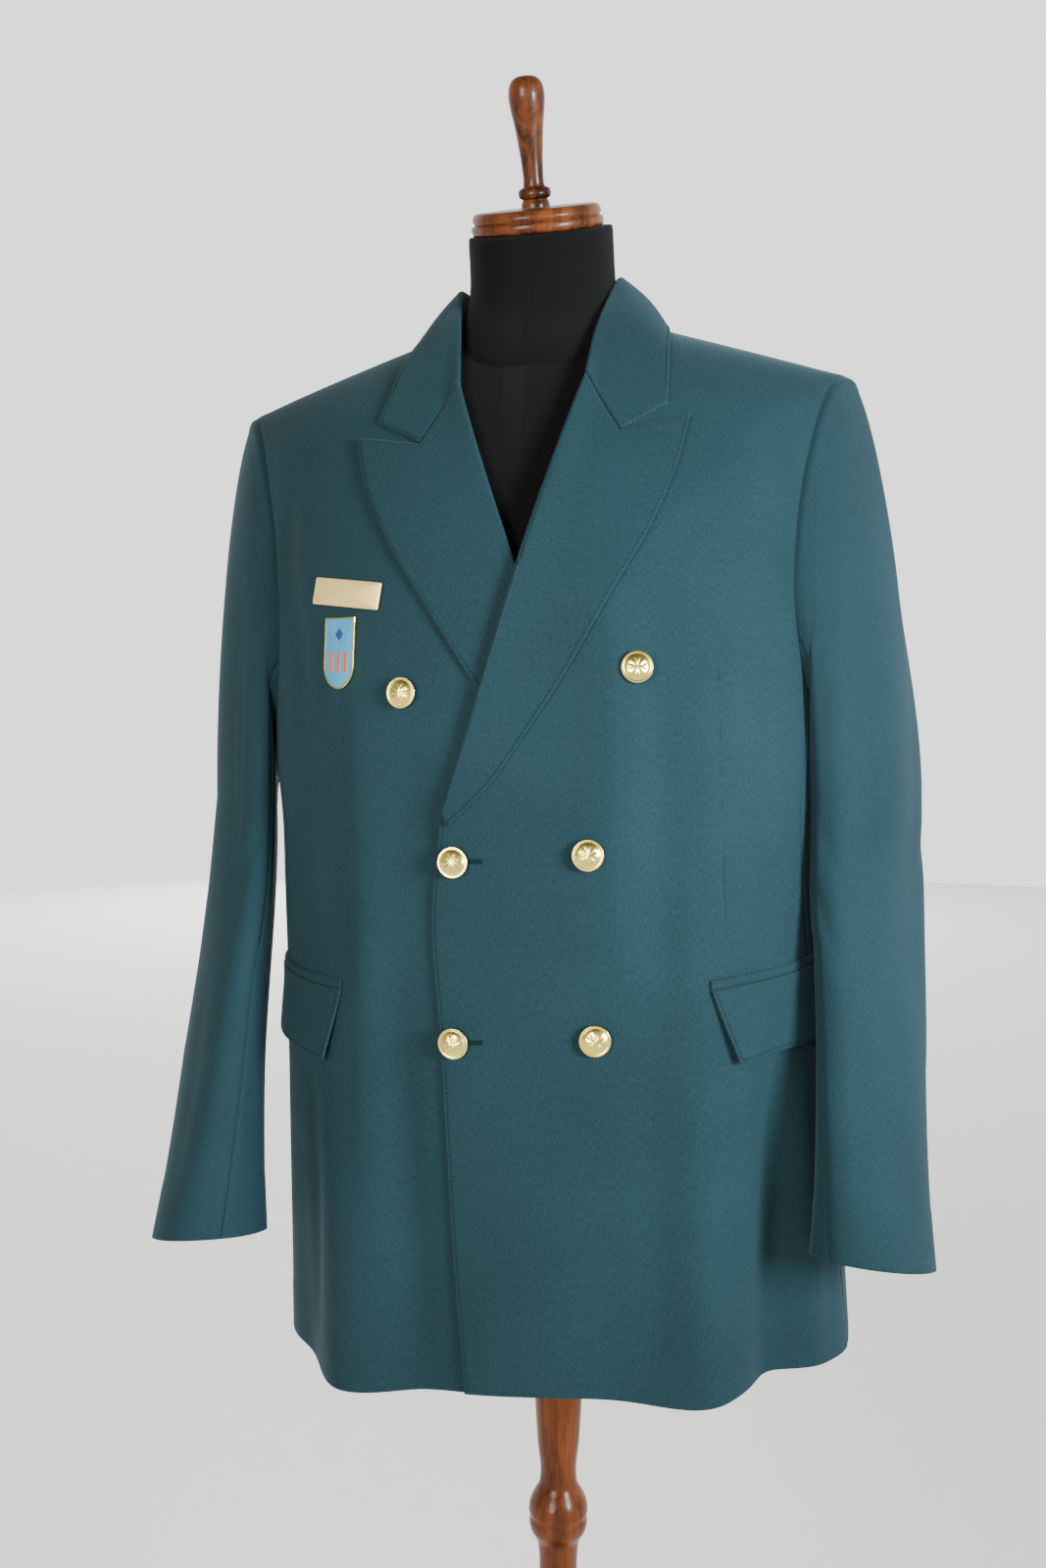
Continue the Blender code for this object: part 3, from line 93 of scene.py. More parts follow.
# Half width of the body surface on the way up from the chest (0) to the shoulder line (1).
Shoulder = namedtuple("Shoulder", "rise half_width")
SHOULDER_WIDTHS = (
    Shoulder(0.0, 0.21), Shoulder(0.2, 0.209), Shoulder(0.45, 0.212), Shoulder(0.7, 0.224),
    Shoulder(0.88, 0.236), Shoulder(1.0, 0.244),
)


# How far each front passes the centre, by height.
FrontEdge = namedtuple("FrontEdge", "z lap")
FRONT_EDGES = (
    FrontEdge(0.66, 0.054), FrontEdge(0.763, 0.0593), FrontEdge(0.9, 0.0617), FrontEdge(0.98, 0.065),
    FrontEdge(1.054, 0.056),
)


# A soft fold down the skirt: angle at its top and at the hem, width, depth at the hem and top height.
Fold = namedtuple("Fold", "top_deg hem_deg width_deg depth top_z")
FOLDS = (
    Fold(30, 27, 9, 0.014, 0.99), Fold(51, 48, 9, -0.0135, 0.97), Fold(70, 72, 9, 0.004, 0.9),
    Fold(8, 10, 9, -0.003, 0.95), Fold(-18, -19, 9, -0.006, 1.0), Fold(-40, -36, 10, 0.012, 1.0),
    Fold(-58, -58, 9, -0.006, 0.95), Fold(118, 122, 11, 0.007, 0.92), Fold(146, 146, 11, -0.007, 0.95),
    Fold(-120, -118, 11, 0.007, 0.92), Fold(-146, -148, 11, -0.006, 0.95), Fold(168, 172, 10, 0.005, 0.9),
)


# A stretch of hem that hangs lower: its angle, width and depth.
Dip = namedtuple("Dip", "deg width_deg depth")
HEM_DIPS = (
    Dip(-38, 24, 0.011), Dip(24, 13, 0.0045),
)


# The armhole, by the angle round it from the tip: body angle, and level (1 underarm, 2 shoulder).
Armhole = namedtuple("Armhole", "turn_deg body_deg level")
ARMHOLE_FRONT = (
    Armhole(0, 70.5, 2.0), Armhole(30, 65.5, 1.8), Armhole(60, 62.5, 1.56), Armhole(90, 61.0, 1.33),
    Armhole(120, 65.0, 1.14), Armhole(150, 76.0, 1.03), Armhole(180, 91.0, 1.0),
)
ARMHOLE_BACK = (
    Armhole(180, 91.0, 1.0), Armhole(210, 105.0, 1.04), Armhole(240, 114.5, 1.16),
    Armhole(270, 117.0, 1.37), Armhole(300, 116.0, 1.6), Armhole(330, 113.0, 1.82),
    Armhole(360, 109.5, 2.0),
)
FRONT_JOIN_TURN = 122  # where the front and side panel seam meets the armhole
BACK_JOIN_TURN = 238  # where the side and back panel seam meets it


# A long body seam, by height level (0 hem, 1 underarm) and the body angle at the front and at the back
# seam.
Seam = namedtuple("Seam", "level front_deg back_deg")
SIDE_SEAMS = (
    Seam(0.0, 77.0, 109.0), Seam(0.3, 72.0, 110.0), Seam(0.6, 66.5, 112.0), Seam(0.85, 63.5, 113.5),
    Seam(1.14, 64.5, 114.5),
)


# A section of a hanging sleeve, in the room's plumb frame: its middle for the left and right sleeve, how
# far it reaches outward (left and right), inward, to the front and to the back, and how far its front
# turns inward.
SleeveRing = namedtuple("SleeveRing", "z x_left x_right y out_left out_right inn fore aft turn_deg")
SLEEVE_RINGS = (
    SleeveRing(1.06, 0.231, 0.243, -0.012, 0.035, 0.03, 0.017, 0.082, 0.07, 22),
    SleeveRing(0.97, 0.234, 0.246, -0.042, 0.0325, 0.0275, 0.02, 0.075, 0.058, 27),
    SleeveRing(0.88, 0.236, 0.2475, -0.07, 0.033, 0.03, 0.0225, 0.068, 0.054, 27),
    SleeveRing(0.8, 0.2355, 0.248, -0.094, 0.037, 0.0345, 0.03, 0.059, 0.051, 24),
    SleeveRing(0.75, 0.2355, 0.2485, -0.11, 0.042, 0.039, 0.038, 0.052, 0.05, 20),
)
SLEEVE_TOP_Z = 1.060
CAP_PULL = (0.020, 0.034)  # outward slope of the sleeve's cap, underarm and more at the top
CAP_DROP = (0.045, 0.36)  # and its downward slope where the hanging part starts
CUFF_Z = 0.750
RIGHT_CUFF_LOW = 0.012  # how much lower the right cuff hangs
CUFF_TILT = 0.26  # rise of the cuff's front edge per metre forward
CUFF_DROP = 0.10  # fall of the cuff per metre outward
FRONT_SEAM_TURN = 108
BACK_SEAM_TURN = 296


# The collar's outer edge, from centre back (0) to the gorge (1): sideways place on the left and on the
# right, height, 1 in front or -1 behind.
Rail = namedtuple("Rail", "along x_left x_right z facing")
FOLD_LINE = (
    (0.0, 0.0, 0.064, 1.445), (0.2, 0.033, 0.055, 1.4465), (0.4, 0.055, 0.027, 1.452),
    (0.55, 0.06, -0.008, 1.45), (0.7, 0.055, -0.045, 1.425), (0.85, 0.049, -0.08, 1.393),
    (1.0, 0.0445, -0.108, 1.358),
)
COLLAR_EDGE = (
    Rail(0.0, 0.0, 0.0, 1.392, -1), Rail(0.2, 0.04, 0.039, 1.3885, -1), Rail(0.4, 0.079, 0.0745, 1.4, -1),
    Rail(0.55, 0.096, 0.086, 1.413, 1), Rail(0.7, 0.101, 0.0905, 1.39, 1),
    Rail(0.85, 0.103, 0.096, 1.362, 1), Rail(1.0, 0.103, 0.103, 1.334, 1),
)
NECK_ALONG = (0.0, 0.20, 0.40, 0.55, 0.70, 0.85, 1.0)
NECK_X = (0.0, 0.040, 0.0700, NECK_POINT_X, 0.0720, 0.0610, 0.0490)  # neckline under the collar
NECK_Z = (1.41, 1.4070, 1.3890, 1.3580)  # its height over the front, from the neck point to the gorge
REST = 0.0004  # gap between a layer of cloth and the layer it lies on
SOFT_ROLL = 0.0023  # radius of a soft fold
FLAT_ROLL = 0.0011  # radius of a pressed fold
COLLAR_ROLL = 0.0026  # radius of the collar's fold
COLLAR_BOW = 0.004  # how far the collar's fall bows out
STAND_FOOT = 0.0008  # how far the stand starts above the neckline
GORGE_GAP = 0.0012  # between collar and lapel, seen from the front


# The lapel's outer edge from where it starts to turn (0) up to its peak (1), as seen from the front.
LapelEdge = namedtuple("LapelEdge", "along x z")
LAPEL_EDGE = (
    LapelEdge(0.0, -0.05, 1.05), LapelEdge(0.15, -0.022, 1.076), LapelEdge(0.3, 0.006, 1.113),
    LapelEdge(0.45, 0.035, 1.154), LapelEdge(0.6, 0.064, 1.202), LapelEdge(0.75, 0.0915, 1.248),
    LapelEdge(0.9, 0.111, 1.295), LapelEdge(1.0, 0.118, 1.325),
)
GORGE = (0.0700, 1.3150)  # lower end of the seam between collar and lapel, seen from the front
GORGE_TOP = (0.0445, 1.3580)
COLLAR_POINT = (0.1030, 1.3340)
PEAK = (0.1180, 1.3250)
LAPEL_TOP_COUNTS = (16, 22)  # columns along the gorge and from it to the peak
BUTTON_RADIUS = 0.01075
BUTTONS = (
    ("button_top_left", 0.08, 1.153, 1),
    ("button_top_right", -0.0805, 1.142, -1),
    ("button_mid_left", 0.0445, 1.0295, 1),
    ("button_mid_right", -0.047, 1.026, 1),
    ("button_low_left", 0.0455, 0.9055, 1),
    ("button_low_right", -0.051, 0.903, 1),
)
FLAP_FRONT_DEG = {"left": (32.5, 37.5), "right": (36.0, 40.5)}  # its front edge, at its top and at its bottom
FLAP_BACK_DEG = 78.0
FLAP_TOP_Z = (0.9355, 0.9450)  # height of the flap's top at its front and back end
FLAP_DROP = 0.0500
FLAP_THICK = 0.0022
WELT_HIGH = 0.0065
PLATE = (0.0580, 0.0190, 0.0015)
PLATE_AT = (-0.1215, 1.2130)
PLATE_TURN = math.radians(7)
PIN_SIZE = (0.0270, 0.0500, 0.0018)
PIN_AT = (-0.1275, 1.1715)
FORM_INSET = 0.0021  # the form's shoulder under the jacket's outer surface
NECK_INSET = 0.0015
FORM_BOTTOM_Z = 0.745
NECK_TILT = math.radians(20)
NECK_TOP = (0.007, -0.020, 1.4870)
NECK_RADIUS = 0.0545
NECK_FLARE = 0.005
NECK_FOOT = (-0.004, 1.372)  # depth and height of the neck's middle inside the shoulders
CAP_SHIFT = -0.002  # how far the cap sits towards the wearer's right of the neck's middle
ARC_POINTS = 13  # points round a roll of cloth
STAND_POINTS = 7  # points up a collar's stand
FALL_POINTS = 25  # and down its fall
GORGE_POINTS = 15  # of those, along the gorge
ROLL_END = STAND_POINTS + ARC_POINTS - 1

THROAT = 0.030  # how far the neck's front runs out into the chest
# each dart's sideways place, top and bottom height
DARTS = {"left": (0.1375, 1.166, 0.940), "right": (0.1250, 1.146, 0.942)}
DART_SINK = (0.0007, 0.004)  # depth and width of the dart's groove
SEAM_SINK = (0.0005, 0.0018)  # depth and width of the groove along a sewn edge
SEAM_SWELL = (0.00025, 0.006, 0.005)  # height, distance and width of the swelling beside it
HEM_PROUD = 0.0003  # how far the turned-up hem stands out
HEAD_PROUD = 0.0014  # how far the sleeve's head stands out
HEM_TURN = (-0.040, -0.034)  # from the edge up, where the turned-up hem ends
CUFF_TURN = (-0.042, -0.036)
DRAPED = ("draped", ("form_cover",))
HUNG_ON_FRONTS = ("hung", ("left_front_cloth", "right_front_cloth"))
STITCH_IN = 0.0026  # top-stitching runs this far inside an edge
STITCH_PITCH = 0.0034
STITCH_LONG = 0.0024
STITCH_RADIUS = 0.00024
PIN_BAR_X = (-0.0065, 0.0, 0.0065)
CAMERA_AT = (0.1838, -1.1457, 1.127)
CAMERA_TURN = (87.2, 0.0, 10.5)
CAMERA_LENS = 34.31
WORLD_FRONT = 0.46  # strength of the surroundings in front, behind and overhead
WORLD_BACK = 1.85
WORLD_ZENITH = 0.30
LIGHTS_AIM = (0.05, -0.1, 1.17)
LIGHTS = (  # name, place, width, power, spread in degrees, colour
    ("key", (1.5, -1.06, 1.3), 0.7, 18.0, 75, (0.86, 0.95, 1.0)),
    ("front_fill", (-0.6, -2.1, 1.3), 1.0, 15.5, 90, (1.0, 0.92, 0.84)),
    ("back_fill", (-2.5, 8.7, 3.0), 3.0, 560.0, 180, (1.0, 0.97, 0.94)),
)

BUTTON_PROFILE = (  # share of the radius, height
    (0.0, 0.0067), (0.18, 0.0066), (0.35, 0.0063), (0.62, 0.0054), (0.78, 0.0043), (0.83, 0.0039),
    (0.88, 0.0041), (0.95, 0.0041), (1.0, 0.0035), (0.97, 0.0028), (0.85, 0.0024), (0.2, 0.0021),
    (0.16, 0.0018), (0.16, 0.0), (0.0, 0.0),
)
CAP_PROFILE = (
    (0.0, 0.0165), (0.043, 0.0165), (0.0462, 0.0156), (0.048, 0.0132), (0.0486, 0.011), (0.048, 0.009),
    (0.047, 0.0082), (0.0495, 0.0068), (0.05, 0.0042), (0.0495, 0.0015), (0.047, 0.0), (0.0, 0.0),
)
FINIAL_PROFILE = (
    (0.0, 0.09), (0.0055, 0.0894), (0.0101, 0.0868), (0.0128, 0.0815), (0.0134, 0.076), (0.0128, 0.069),
    (0.0108, 0.057), (0.0092, 0.043), (0.008, 0.03), (0.0076, 0.02), (0.0081, 0.015), (0.0115, 0.0128),
    (0.0124, 0.01), (0.0117, 0.0072), (0.0094, 0.0058), (0.0105, 0.003), (0.0109, 0.0), (0.0, 0.0),
)
POLE_PROFILE = (
    (0.0, 0.7431), (0.02, 0.7431), (0.0202, 0.66), (0.0192, 0.6), (0.0166, 0.55), (0.0142, 0.525),
    (0.015, 0.516), (0.02, 0.506), (0.0228, 0.499), (0.0234, 0.493), (0.0222, 0.489), (0.0231, 0.485),
    (0.0222, 0.479), (0.0165, 0.468), (0.015, 0.45), (0.0172, 0.36), (0.0205, 0.23), (0.0215, 0.17),
    (0.02, 0.12), (0.017, 0.09), (0.024, 0.078), (0.027, 0.07), (0.027, 0.0343), (0.0, 0.0343),
)
BASE_PROFILE = (
    (0.0, 0.034), (0.06, 0.034), (0.1, 0.031), (0.15, 0.027), (0.168, 0.024), (0.175, 0.017),
    (0.176, 0.009), (0.172, 0.002), (0.168, 0.0), (0.0, 0.0),
)


# A soft ridge, or with a negative depth a trough: its two ends by the angle round the body or the sleeve
# and by the height, or on a sleeve the way down (0 armhole, 1 below the cap, 2 cuff), its width, its
# depth and how far its middle bows towards the wearer's left, in metres.
Crease = namedtuple("Crease", "deg_a down_a deg_b down_b width depth bow", defaults=(0.0,))
BODY_RADIUS = 0.17  # near enough to measure along the cloth round the body
CREASES = (
    Crease(13, 1.235, 12, 0.93, 0.017, 0.0036, 0.004), Crease(22, 1.2, 21, 0.9, 0.014, -0.0033, 0.004),
    Crease(38, 1.16, 36, 0.96, 0.02, 0.0021, 0.0), Crease(50, 1.23, 44, 1.02, 0.013, -0.0021, -0.006),
    Crease(29, 0.93, 26, 0.66, 0.014, 0.0033, 0.003), Crease(18, 0.9, 19, 0.67, 0.012, -0.0024, 0.0),
    Crease(50, 0.93, 49, 0.64, 0.013, -0.0046, 0.0), Crease(40, 0.92, 38, 0.65, 0.013, 0.004, 0.0),
    Crease(60, 0.88, 61, 0.65, 0.012, 0.0045, 0.0), Crease(2, 0.86, 3, 0.67, 0.016, 0.0018, 0.0),
    Crease(-17, 1.12, -16, 0.88, 0.015, -0.0021, -0.003),
    Crease(-29, 1.15, -27, 0.7, 0.015, 0.0033, -0.004), Crease(-40, 1.13, -38, 0.95, 0.013, -0.0024, 0.002),
    Crease(-23, 0.98, -22, 0.64, 0.014, -0.0048, 0.0), Crease(-49, 0.88, -50, 0.67, 0.012, -0.003, 0.003),
    Crease(-52, 1.25, -47, 1.06, 0.014, -0.0024, 0.005), Crease(48, 1.33, 57, 1.19, 0.014, -0.0018, 0.004),
    Crease(-46, 1.33, -56, 1.19, 0.014, -0.0021, -0.004), Crease(80, 1.06, 76, 0.9, 0.014, -0.0021, 0.004),
    Crease(-80, 1.06, -77, 0.9, 0.014, -0.0021, -0.004),
    Crease(128, 1.28, 122, 1.06, 0.014, -0.0036, 0.006),
    Crease(-128, 1.29, -121, 1.07, 0.014, -0.0039, -0.006), Crease(140, 1.24, 138, 0.9, 0.02, 0.003, 0.004),
    Crease(-141, 1.23, -139, 0.88, 0.02, 0.003, -0.005), Crease(156, 1.12, 157, 0.8, 0.018, -0.0027, 0.0),
    Crease(-155, 1.1, -158, 0.78, 0.018, -0.003, 0.002), Crease(130, 0.94, 128, 0.67, 0.015, 0.003, 0.0),
    Crease(-131, 0.92, -128, 0.67, 0.015, 0.0033, 0.0), Crease(108, 0.96, 106, 0.68, 0.012, -0.003, 0.003),
    Crease(-107, 0.95, -105, 0.68, 0.012, -0.0027, -0.002),
)
SLEEVE_RADIUS = 0.055
SLEEVE_LENGTH = 0.36  # of one unit of the way down
SLEEVE_CREASES = {
    "left": (
        Crease(112, 0.4, 112, 1.3, 0.02, 0.005), Crease(135, 1.1, 135, 2.9, 0.034, 0.0032),
        Crease(20, 0.45, 28, 1.3, 0.016, 0.002), Crease(50, 0.5, 46, 1.45, 0.013, -0.0022),
        Crease(76, 0.55, 70, 1.6, 0.014, 0.0018), Crease(-12, 0.6, -2, 1.5, 0.014, -0.0016),
        Crease(-42, 0.55, -36, 1.6, 0.015, 0.002), Crease(98, 1.02, 52, 1.22, 0.01, -0.0016),
        Crease(102, 1.16, 60, 1.4, 0.009, -0.0014), Crease(-60, 1.0, -18, 1.2, 0.011, -0.0018),
        Crease(12, 1.35, 8, 1.92, 0.013, 0.0014), Crease(58, 1.45, 64, 1.95, 0.011, -0.0012),
        Crease(200, 0.75, 190, 1.5, 0.013, 0.0016), Crease(240, 0.7, 236, 1.6, 0.013, -0.0018),
        Crease(160, 0.95, 205, 1.15, 0.01, -0.0014),
    ),
    "right": (
        Crease(112, 0.4, 112, 1.4, 0.02, 0.005), Crease(160, 1.0, 160, 2.9, 0.042, 0.0078),
        Crease(24, 0.4, 18, 1.4, 0.015, 0.0022), Crease(54, 0.45, 56, 1.35, 0.014, -0.002),
        Crease(82, 0.6, 84, 1.7, 0.013, 0.0014), Crease(-8, 0.55, -14, 1.6, 0.015, -0.0018),
        Crease(-44, 0.6, -40, 1.5, 0.015, 0.0022), Crease(96, 1.06, 50, 1.26, 0.01, -0.0018),
        Crease(-58, 1.06, -14, 1.26, 0.011, -0.0016), Crease(34, 1.4, 38, 1.95, 0.012, -0.0014),
        Crease(70, 1.3, 74, 1.9, 0.012, 0.0012), Crease(195, 0.75, 205, 1.45, 0.013, 0.0016),
        Crease(244, 0.8, 240, 1.6, 0.013, -0.0016), Crease(155, 0.98, 200, 1.18, 0.01, -0.0014),
    ),
}


def column(rows, name):
    return np.array([getattr(row, name) for row in rows], float)


def read(keys, values, at):
    """Monotone cubic through a table's rows, so that a curve never overshoots a row."""
    keys = np.asarray(keys, float)
    values = np.asarray(values, float)
    at = np.clip(np.asarray(at, float), keys[0], keys[-1])
    step = np.diff(keys)
    slope = np.diff(values) / step
    tangent = np.empty_like(values)
    tangent[0] = slope[0]
    tangent[-1] = slope[-1]
    same = slope[:-1] * slope[1:] > 0
    weight_a = 2 * step[1:] + step[:-1]
    weight_b = step[1:] + 2 * step[:-1]
    with np.errstate(divide="ignore", invalid="ignore"):
        mean = (weight_a + weight_b) / (weight_a / slope[:-1] + weight_b / slope[1:])
    tangent[1:-1] = np.where(same, mean, 0.0)
    row = np.clip(np.searchsorted(keys, at, side="right") - 1, 0, len(step) - 1)
    part = (at - keys[row]) / step[row]
    return hermite(values[row], tangent[row] * step[row], values[row + 1], tangent[row + 1] * step[row], part)


def hermite(start, leave, end, arrive, part):
    """The cubic from start to end that leaves and arrives with these slopes."""
    return (
        start * (1 + 2 * part) * (1 - part) ** 2
        + leave * part * (1 - part) ** 2
        + end * part**2 * (3 - 2 * part)
        + arrive * part**2 * (part - 1)
    )


def look_up(rows, name, at):
    """A table's named column, read by its first column."""
    return read([row[0] for row in rows], column(rows, name), at)


def ease(value, low, high):
    """0 below low, 1 above high, and a smooth step between."""
    part = np.clip((value - low) / (high - low), 0, 1)
    return part * part * (3 - 2 * part)


def bell(away, width):
    """1 in the middle, and e to the minus square of the distance in widths beside it."""
    return np.exp(-((away / width) ** 2))


def wrapped(angle):
    """The same angle between minus and plus half a turn."""
    return (angle + math.pi) % (2 * math.pi) - math.pi


def unit(vectors):
    """Vectors over their own length."""
    return vectors / np.maximum(np.linalg.norm(vectors, axis=-1, keepdims=True), TINY)


def across_of(vectors, normal):
    """Unit vectors of what is left once the part along a unit normal is taken off."""
    return unit(vectors - normal * (vectors * normal).sum(axis=-1, keepdims=True))


def signed_power(value, power):
    return np.sign(value) * np.abs(value) ** power


def ridge_z(x):
    """Height of the shoulder line, with its peak over the neck rounded off."""
    return RIDGE_TOP_Z - SHOULDER_SLOPE * np.sqrt(x * x + RIDGE_ROUND)


ROLL_TURN = np.linspace(0, math.pi / 2, 400)
ROLL_OUT = np.cos(ROLL_TURN) ** (2 / SHOULDER_ROLL)
ROLL_UP = np.sin(ROLL_TURN) ** (2 / SHOULDER_ROLL)
ROLL_STEPS = np.hypot(ROLL_DEEP * np.diff(ROLL_OUT), ROLL_TALL * np.diff(ROLL_UP))
ROLL_LENGTH = np.concatenate([[0], np.cumsum(ROLL_STEPS)])
ROLL_SHARE = ROLL_LENGTH / ROLL_LENGTH[-1]


def shoulder_roll(rise):
    """Shares of the depth left and of the height gained, at a share of the way up over the shoulder."""
    turn = np.interp(rise, ROLL_SHARE, ROLL_TURN)
    return np.cos(turn) ** (2 / SHOULDER_ROLL), np.sin(turn) ** (2 / SHOULDER_ROLL)


def level_at(z):
    """Level of a height under the arm: 0 at the hem, 1 at the chest."""
    return (z - HEM_Z) / (CHEST_Z - HEM_Z)


def fold_depth(angle, z):
    """How far the folds move the skirt out, each a bell across its angle that deepens towards the hem."""
    total = 0.0
    for fold in FOLDS:
        down = np.clip((fold.top_z - z) / (fold.top_z - HEM_Z), 0, 1)
        middle = np.radians(fold.top_deg + (fold.hem_deg - fold.top_deg) * down)
        total = total + fold.depth * down**1.4 * bell(wrapped(angle - middle), math.radians(fold.width_deg))
    return total


def hem_dip(angle):
    total = 0.0
    for dip in HEM_DIPS:
        total = total + dip.depth * bell(wrapped(angle - math.radians(dip.deg)), math.radians(dip.width_deg))
    return total


def shifted(x):
    """Sideways place with the middle moved towards the wearer's left and the sides left where they are."""
    return x + CENTRE_SHIFT * bell(x, CENTRE_WIDTH)


def body(angle, level, narrow=0.0, ease_in=0.0, sink=0.0):
    """The jacket's outer surface by angle from centre front towards the wearer's left, and level: 0 is
    the hem, 1 the underarm and 2 the shoulder line. Rings are superellipses; above the underarm the depth
    shrinks and the height grows on a superellipse quarter that ends on the shoulder line. The last three
    make it smaller, for the form."""
    angle, level = np.broadcast_arrays(np.asarray(angle, float), np.asarray(level, float))
    z_ring = HEM_Z + (CHEST_Z - HEM_Z) * np.minimum(level, 1)
    rise = np.clip(level - 1, 0, 1)
    power = 2 / look_up(BODY_RINGS, "square", z_ring)
    grown = look_up(SHOULDER_WIDTHS, "half_width", rise)
    half = np.where(level > 1, grown, look_up(BODY_RINGS, "half_width", z_ring)) - narrow
    front, back, middle = (look_up(BODY_RINGS, name, z_ring) for name in ("front", "back", "centre_y"))
    swell = fold_depth(angle, z_ring) if ease_in == 0 else -ease_in * np.ones_like(z_ring)
    x = (half + swell * (ease_in == 0)) * signed_power(np.sin(angle), power)
    depth = np.where(np.cos(angle) > 0, front, back) + swell
    y_ring = middle - depth * signed_power(np.cos(angle), power)
    out, up = shoulder_roll(rise)
    y = RIDGE_Y + (y_ring - RIDGE_Y) * out
    z = z_ring + (ridge_z(x) - sink - CHEST_Z) * up - hem_dip(angle) * np.maximum(1 - level, 0) ** 3
    return np.stack([shifted(x), y, z], axis=-1)


def body_normal(angle, level):
    """Unit normal of the body surface, from small steps either way."""
    level = np.minimum(level, TOP_LEVEL)
    along = body(angle + STEP, level) - body(angle - STEP, level)
    up = body(angle, level + STEP) - body(angle, level - STEP)
    return unit(np.cross(along, up))


def front_chart(x, z):
    """Body angle and level of the point of the front that is seen at x, z from straight ahead."""
    x, z = np.broadcast_arrays(np.asarray(x, float), np.asarray(z, float))
    climb = np.clip((z - CHEST_Z) / (ridge_z(x) - CHEST_Z), 0, 1)
    rise = np.interp(climb, ROLL_UP, ROLL_SHARE)
    level = np.where(z > CHEST_Z, 1 + rise, level_at(z))
    ring_z = np.minimum(z, CHEST_Z)
    grown = look_up(SHOULDER_WIDTHS, "half_width", rise)
    half = np.where(z > CHEST_Z, grown, look_up(BODY_RINGS, "half_width", ring_z))
    return angle_at(x / half, look_up(BODY_RINGS, "square", ring_z)), level


def angle_at(share, square):
    """Body angle at a share of a superellipse's half width."""
    return np.arcsin(signed_power(np.clip(share, -1, 1), square / 2))


def left_lift(x, z):
    """How far the left front stands off the body surface, to pass over the right front and its lapel."""
    over = LAP_LIFT + LAPEL_LIFT * ease(z, 1.015, 1.060) + 0.0005 * (1 - ease(z, 0.67, 0.76))
    return over * (1 - ease(x, 0.060, 0.150)) * (1 - ease(z, 1.230, 1.330))


def settle(points, clear):
    """Moves points that lie nearer to the body surface than a clearance, or under it, out to that
    clearance. The nearest body point is found by Gauss-Newton steps in angle and level."""
    angle, level = front_chart(points[..., 0], points[..., 2])
    angle = np.where(points[..., 1] > RIDGE_Y, math.pi - angle, angle)
    for _ in range(12):
        level = np.clip(level, 0.0, 1.995)
        here = body(angle, level)
        along = (body(angle + STEP, level) - here) / STEP
        up = (body(angle, level + STEP) - here) / STEP
        away = points - here
        aa, bb, ab = (along * along).sum(-1), (up * up).sum(-1), (along * up).sum(-1)
        ra, rb = (away * along).sum(-1), (away * up).sum(-1)
        scale = np.maximum(aa * bb - ab * ab, TINY)
        angle = angle + np.clip((ra * bb - rb * ab) / scale, -0.2, 0.2)
        level = level + np.clip((rb * aa - ra * ab) / scale, -0.2, 0.2)
    level = np.clip(level, 0.0, 1.995)
    normal = body_normal(angle, level)
    height = ((points - body(angle, level)) * normal).sum(-1)
    return points + normal * np.maximum(clear - height, 0)[..., None]


def lift_of(side, angle, level):
    if side < 0:
        return np.zeros(np.broadcast(angle, level).shape)
    point = body(angle, level)
    return left_lift(point[..., 0], point[..., 2])


def front_face(side, angle, level, more=0.0):
    """A point over a front panel, moved out from the panel's own outer surface."""
    return outer(angle, level, lift_of(side, angle, level) + more)


def leant(points):
    """Turned with the form, which leans about the front-to-back axis."""
    points = np.array(points, float)
    x = points[..., 0].copy()
    z = points[..., 2] - LEAN_Z
    points[..., 0] = x * math.cos(LEAN) - z * math.sin(LEAN)
    points[..., 2] = LEAN_Z + x * math.sin(LEAN) + z * math.cos(LEAN)
    return points


def smooth_normals(face):
    """Unit normals of a grid of points."""
    return unit(np.cross(np.gradient(face, axis=1), np.gradient(face, axis=0)))


def armhole(turn):
    """Body angle and level of the armhole at a turn in radians, 0 at the shoulder tip and counted
    forward."""
    degrees = np.degrees(turn)
    angle, level = (
        np.where(degrees <= 180, look_up(ARMHOLE_FRONT, name, degrees), look_up(ARMHOLE_BACK, name, degrees))
        for name in ("body_deg", "level")
    )
    return np.radians(angle), level


def armhole_angle(level, behind):
    """Body angle of the armhole's front or back edge at a level above its join with the side panel."""
    ends = (360, BACK_JOIN_TURN) if behind else (0, FRONT_JOIN_TURN)
    angles, levels = armhole(np.radians(np.linspace(*ends, 80)))
    return np.interp(level, levels[::-1], angles[::-1])


def join(behind):
    angle, level = armhole(np.radians(BACK_JOIN_TURN if behind else FRONT_JOIN_TURN))
    return float(angle), float(level)


def side_seam(level, behind):
    """Body angle of the long seam, which ends on the armhole, and of the armhole above it."""
    end_angle, end_level = join(behind)
    name = "back_deg" if behind else "front_deg"
    end = SIDE_SEAMS[-1]._replace(**{"level": end_level, name: math.degrees(end_angle)})
    seam = np.radians(look_up((*SIDE_SEAMS[:-1], end), name, level))
    return np.where(level > end_level, armhole_angle(level, behind), seam)


def seam_gap(angle, level):
    """Body angle that half a seam gap takes up."""
    return SEWN_GAP * 1e-3 / np.linalg.norm(body(angle + 1e-3, level) - body(angle, level), axis=-1)


def neckline_x(z):
    """Inner edge of a front above the crossing: the roll line, then the neckline up to the shoulder
    seam."""
    heights = (CROSS_Z, GORGE_TOP[1] - 0.004, 1.395, ridge_z(NECK_POINT_X))
    return read(heights, (0.0, GORGE_TOP[0] - 0.001, 0.0640, NECK_POINT_X), z)


def roll_x(z):
    """The roll line, straight from the break through the crossing to the gorge."""
    return (z - CROSS_Z) * GORGE_TOP[0] / (GORGE_TOP[1] - CROSS_Z)


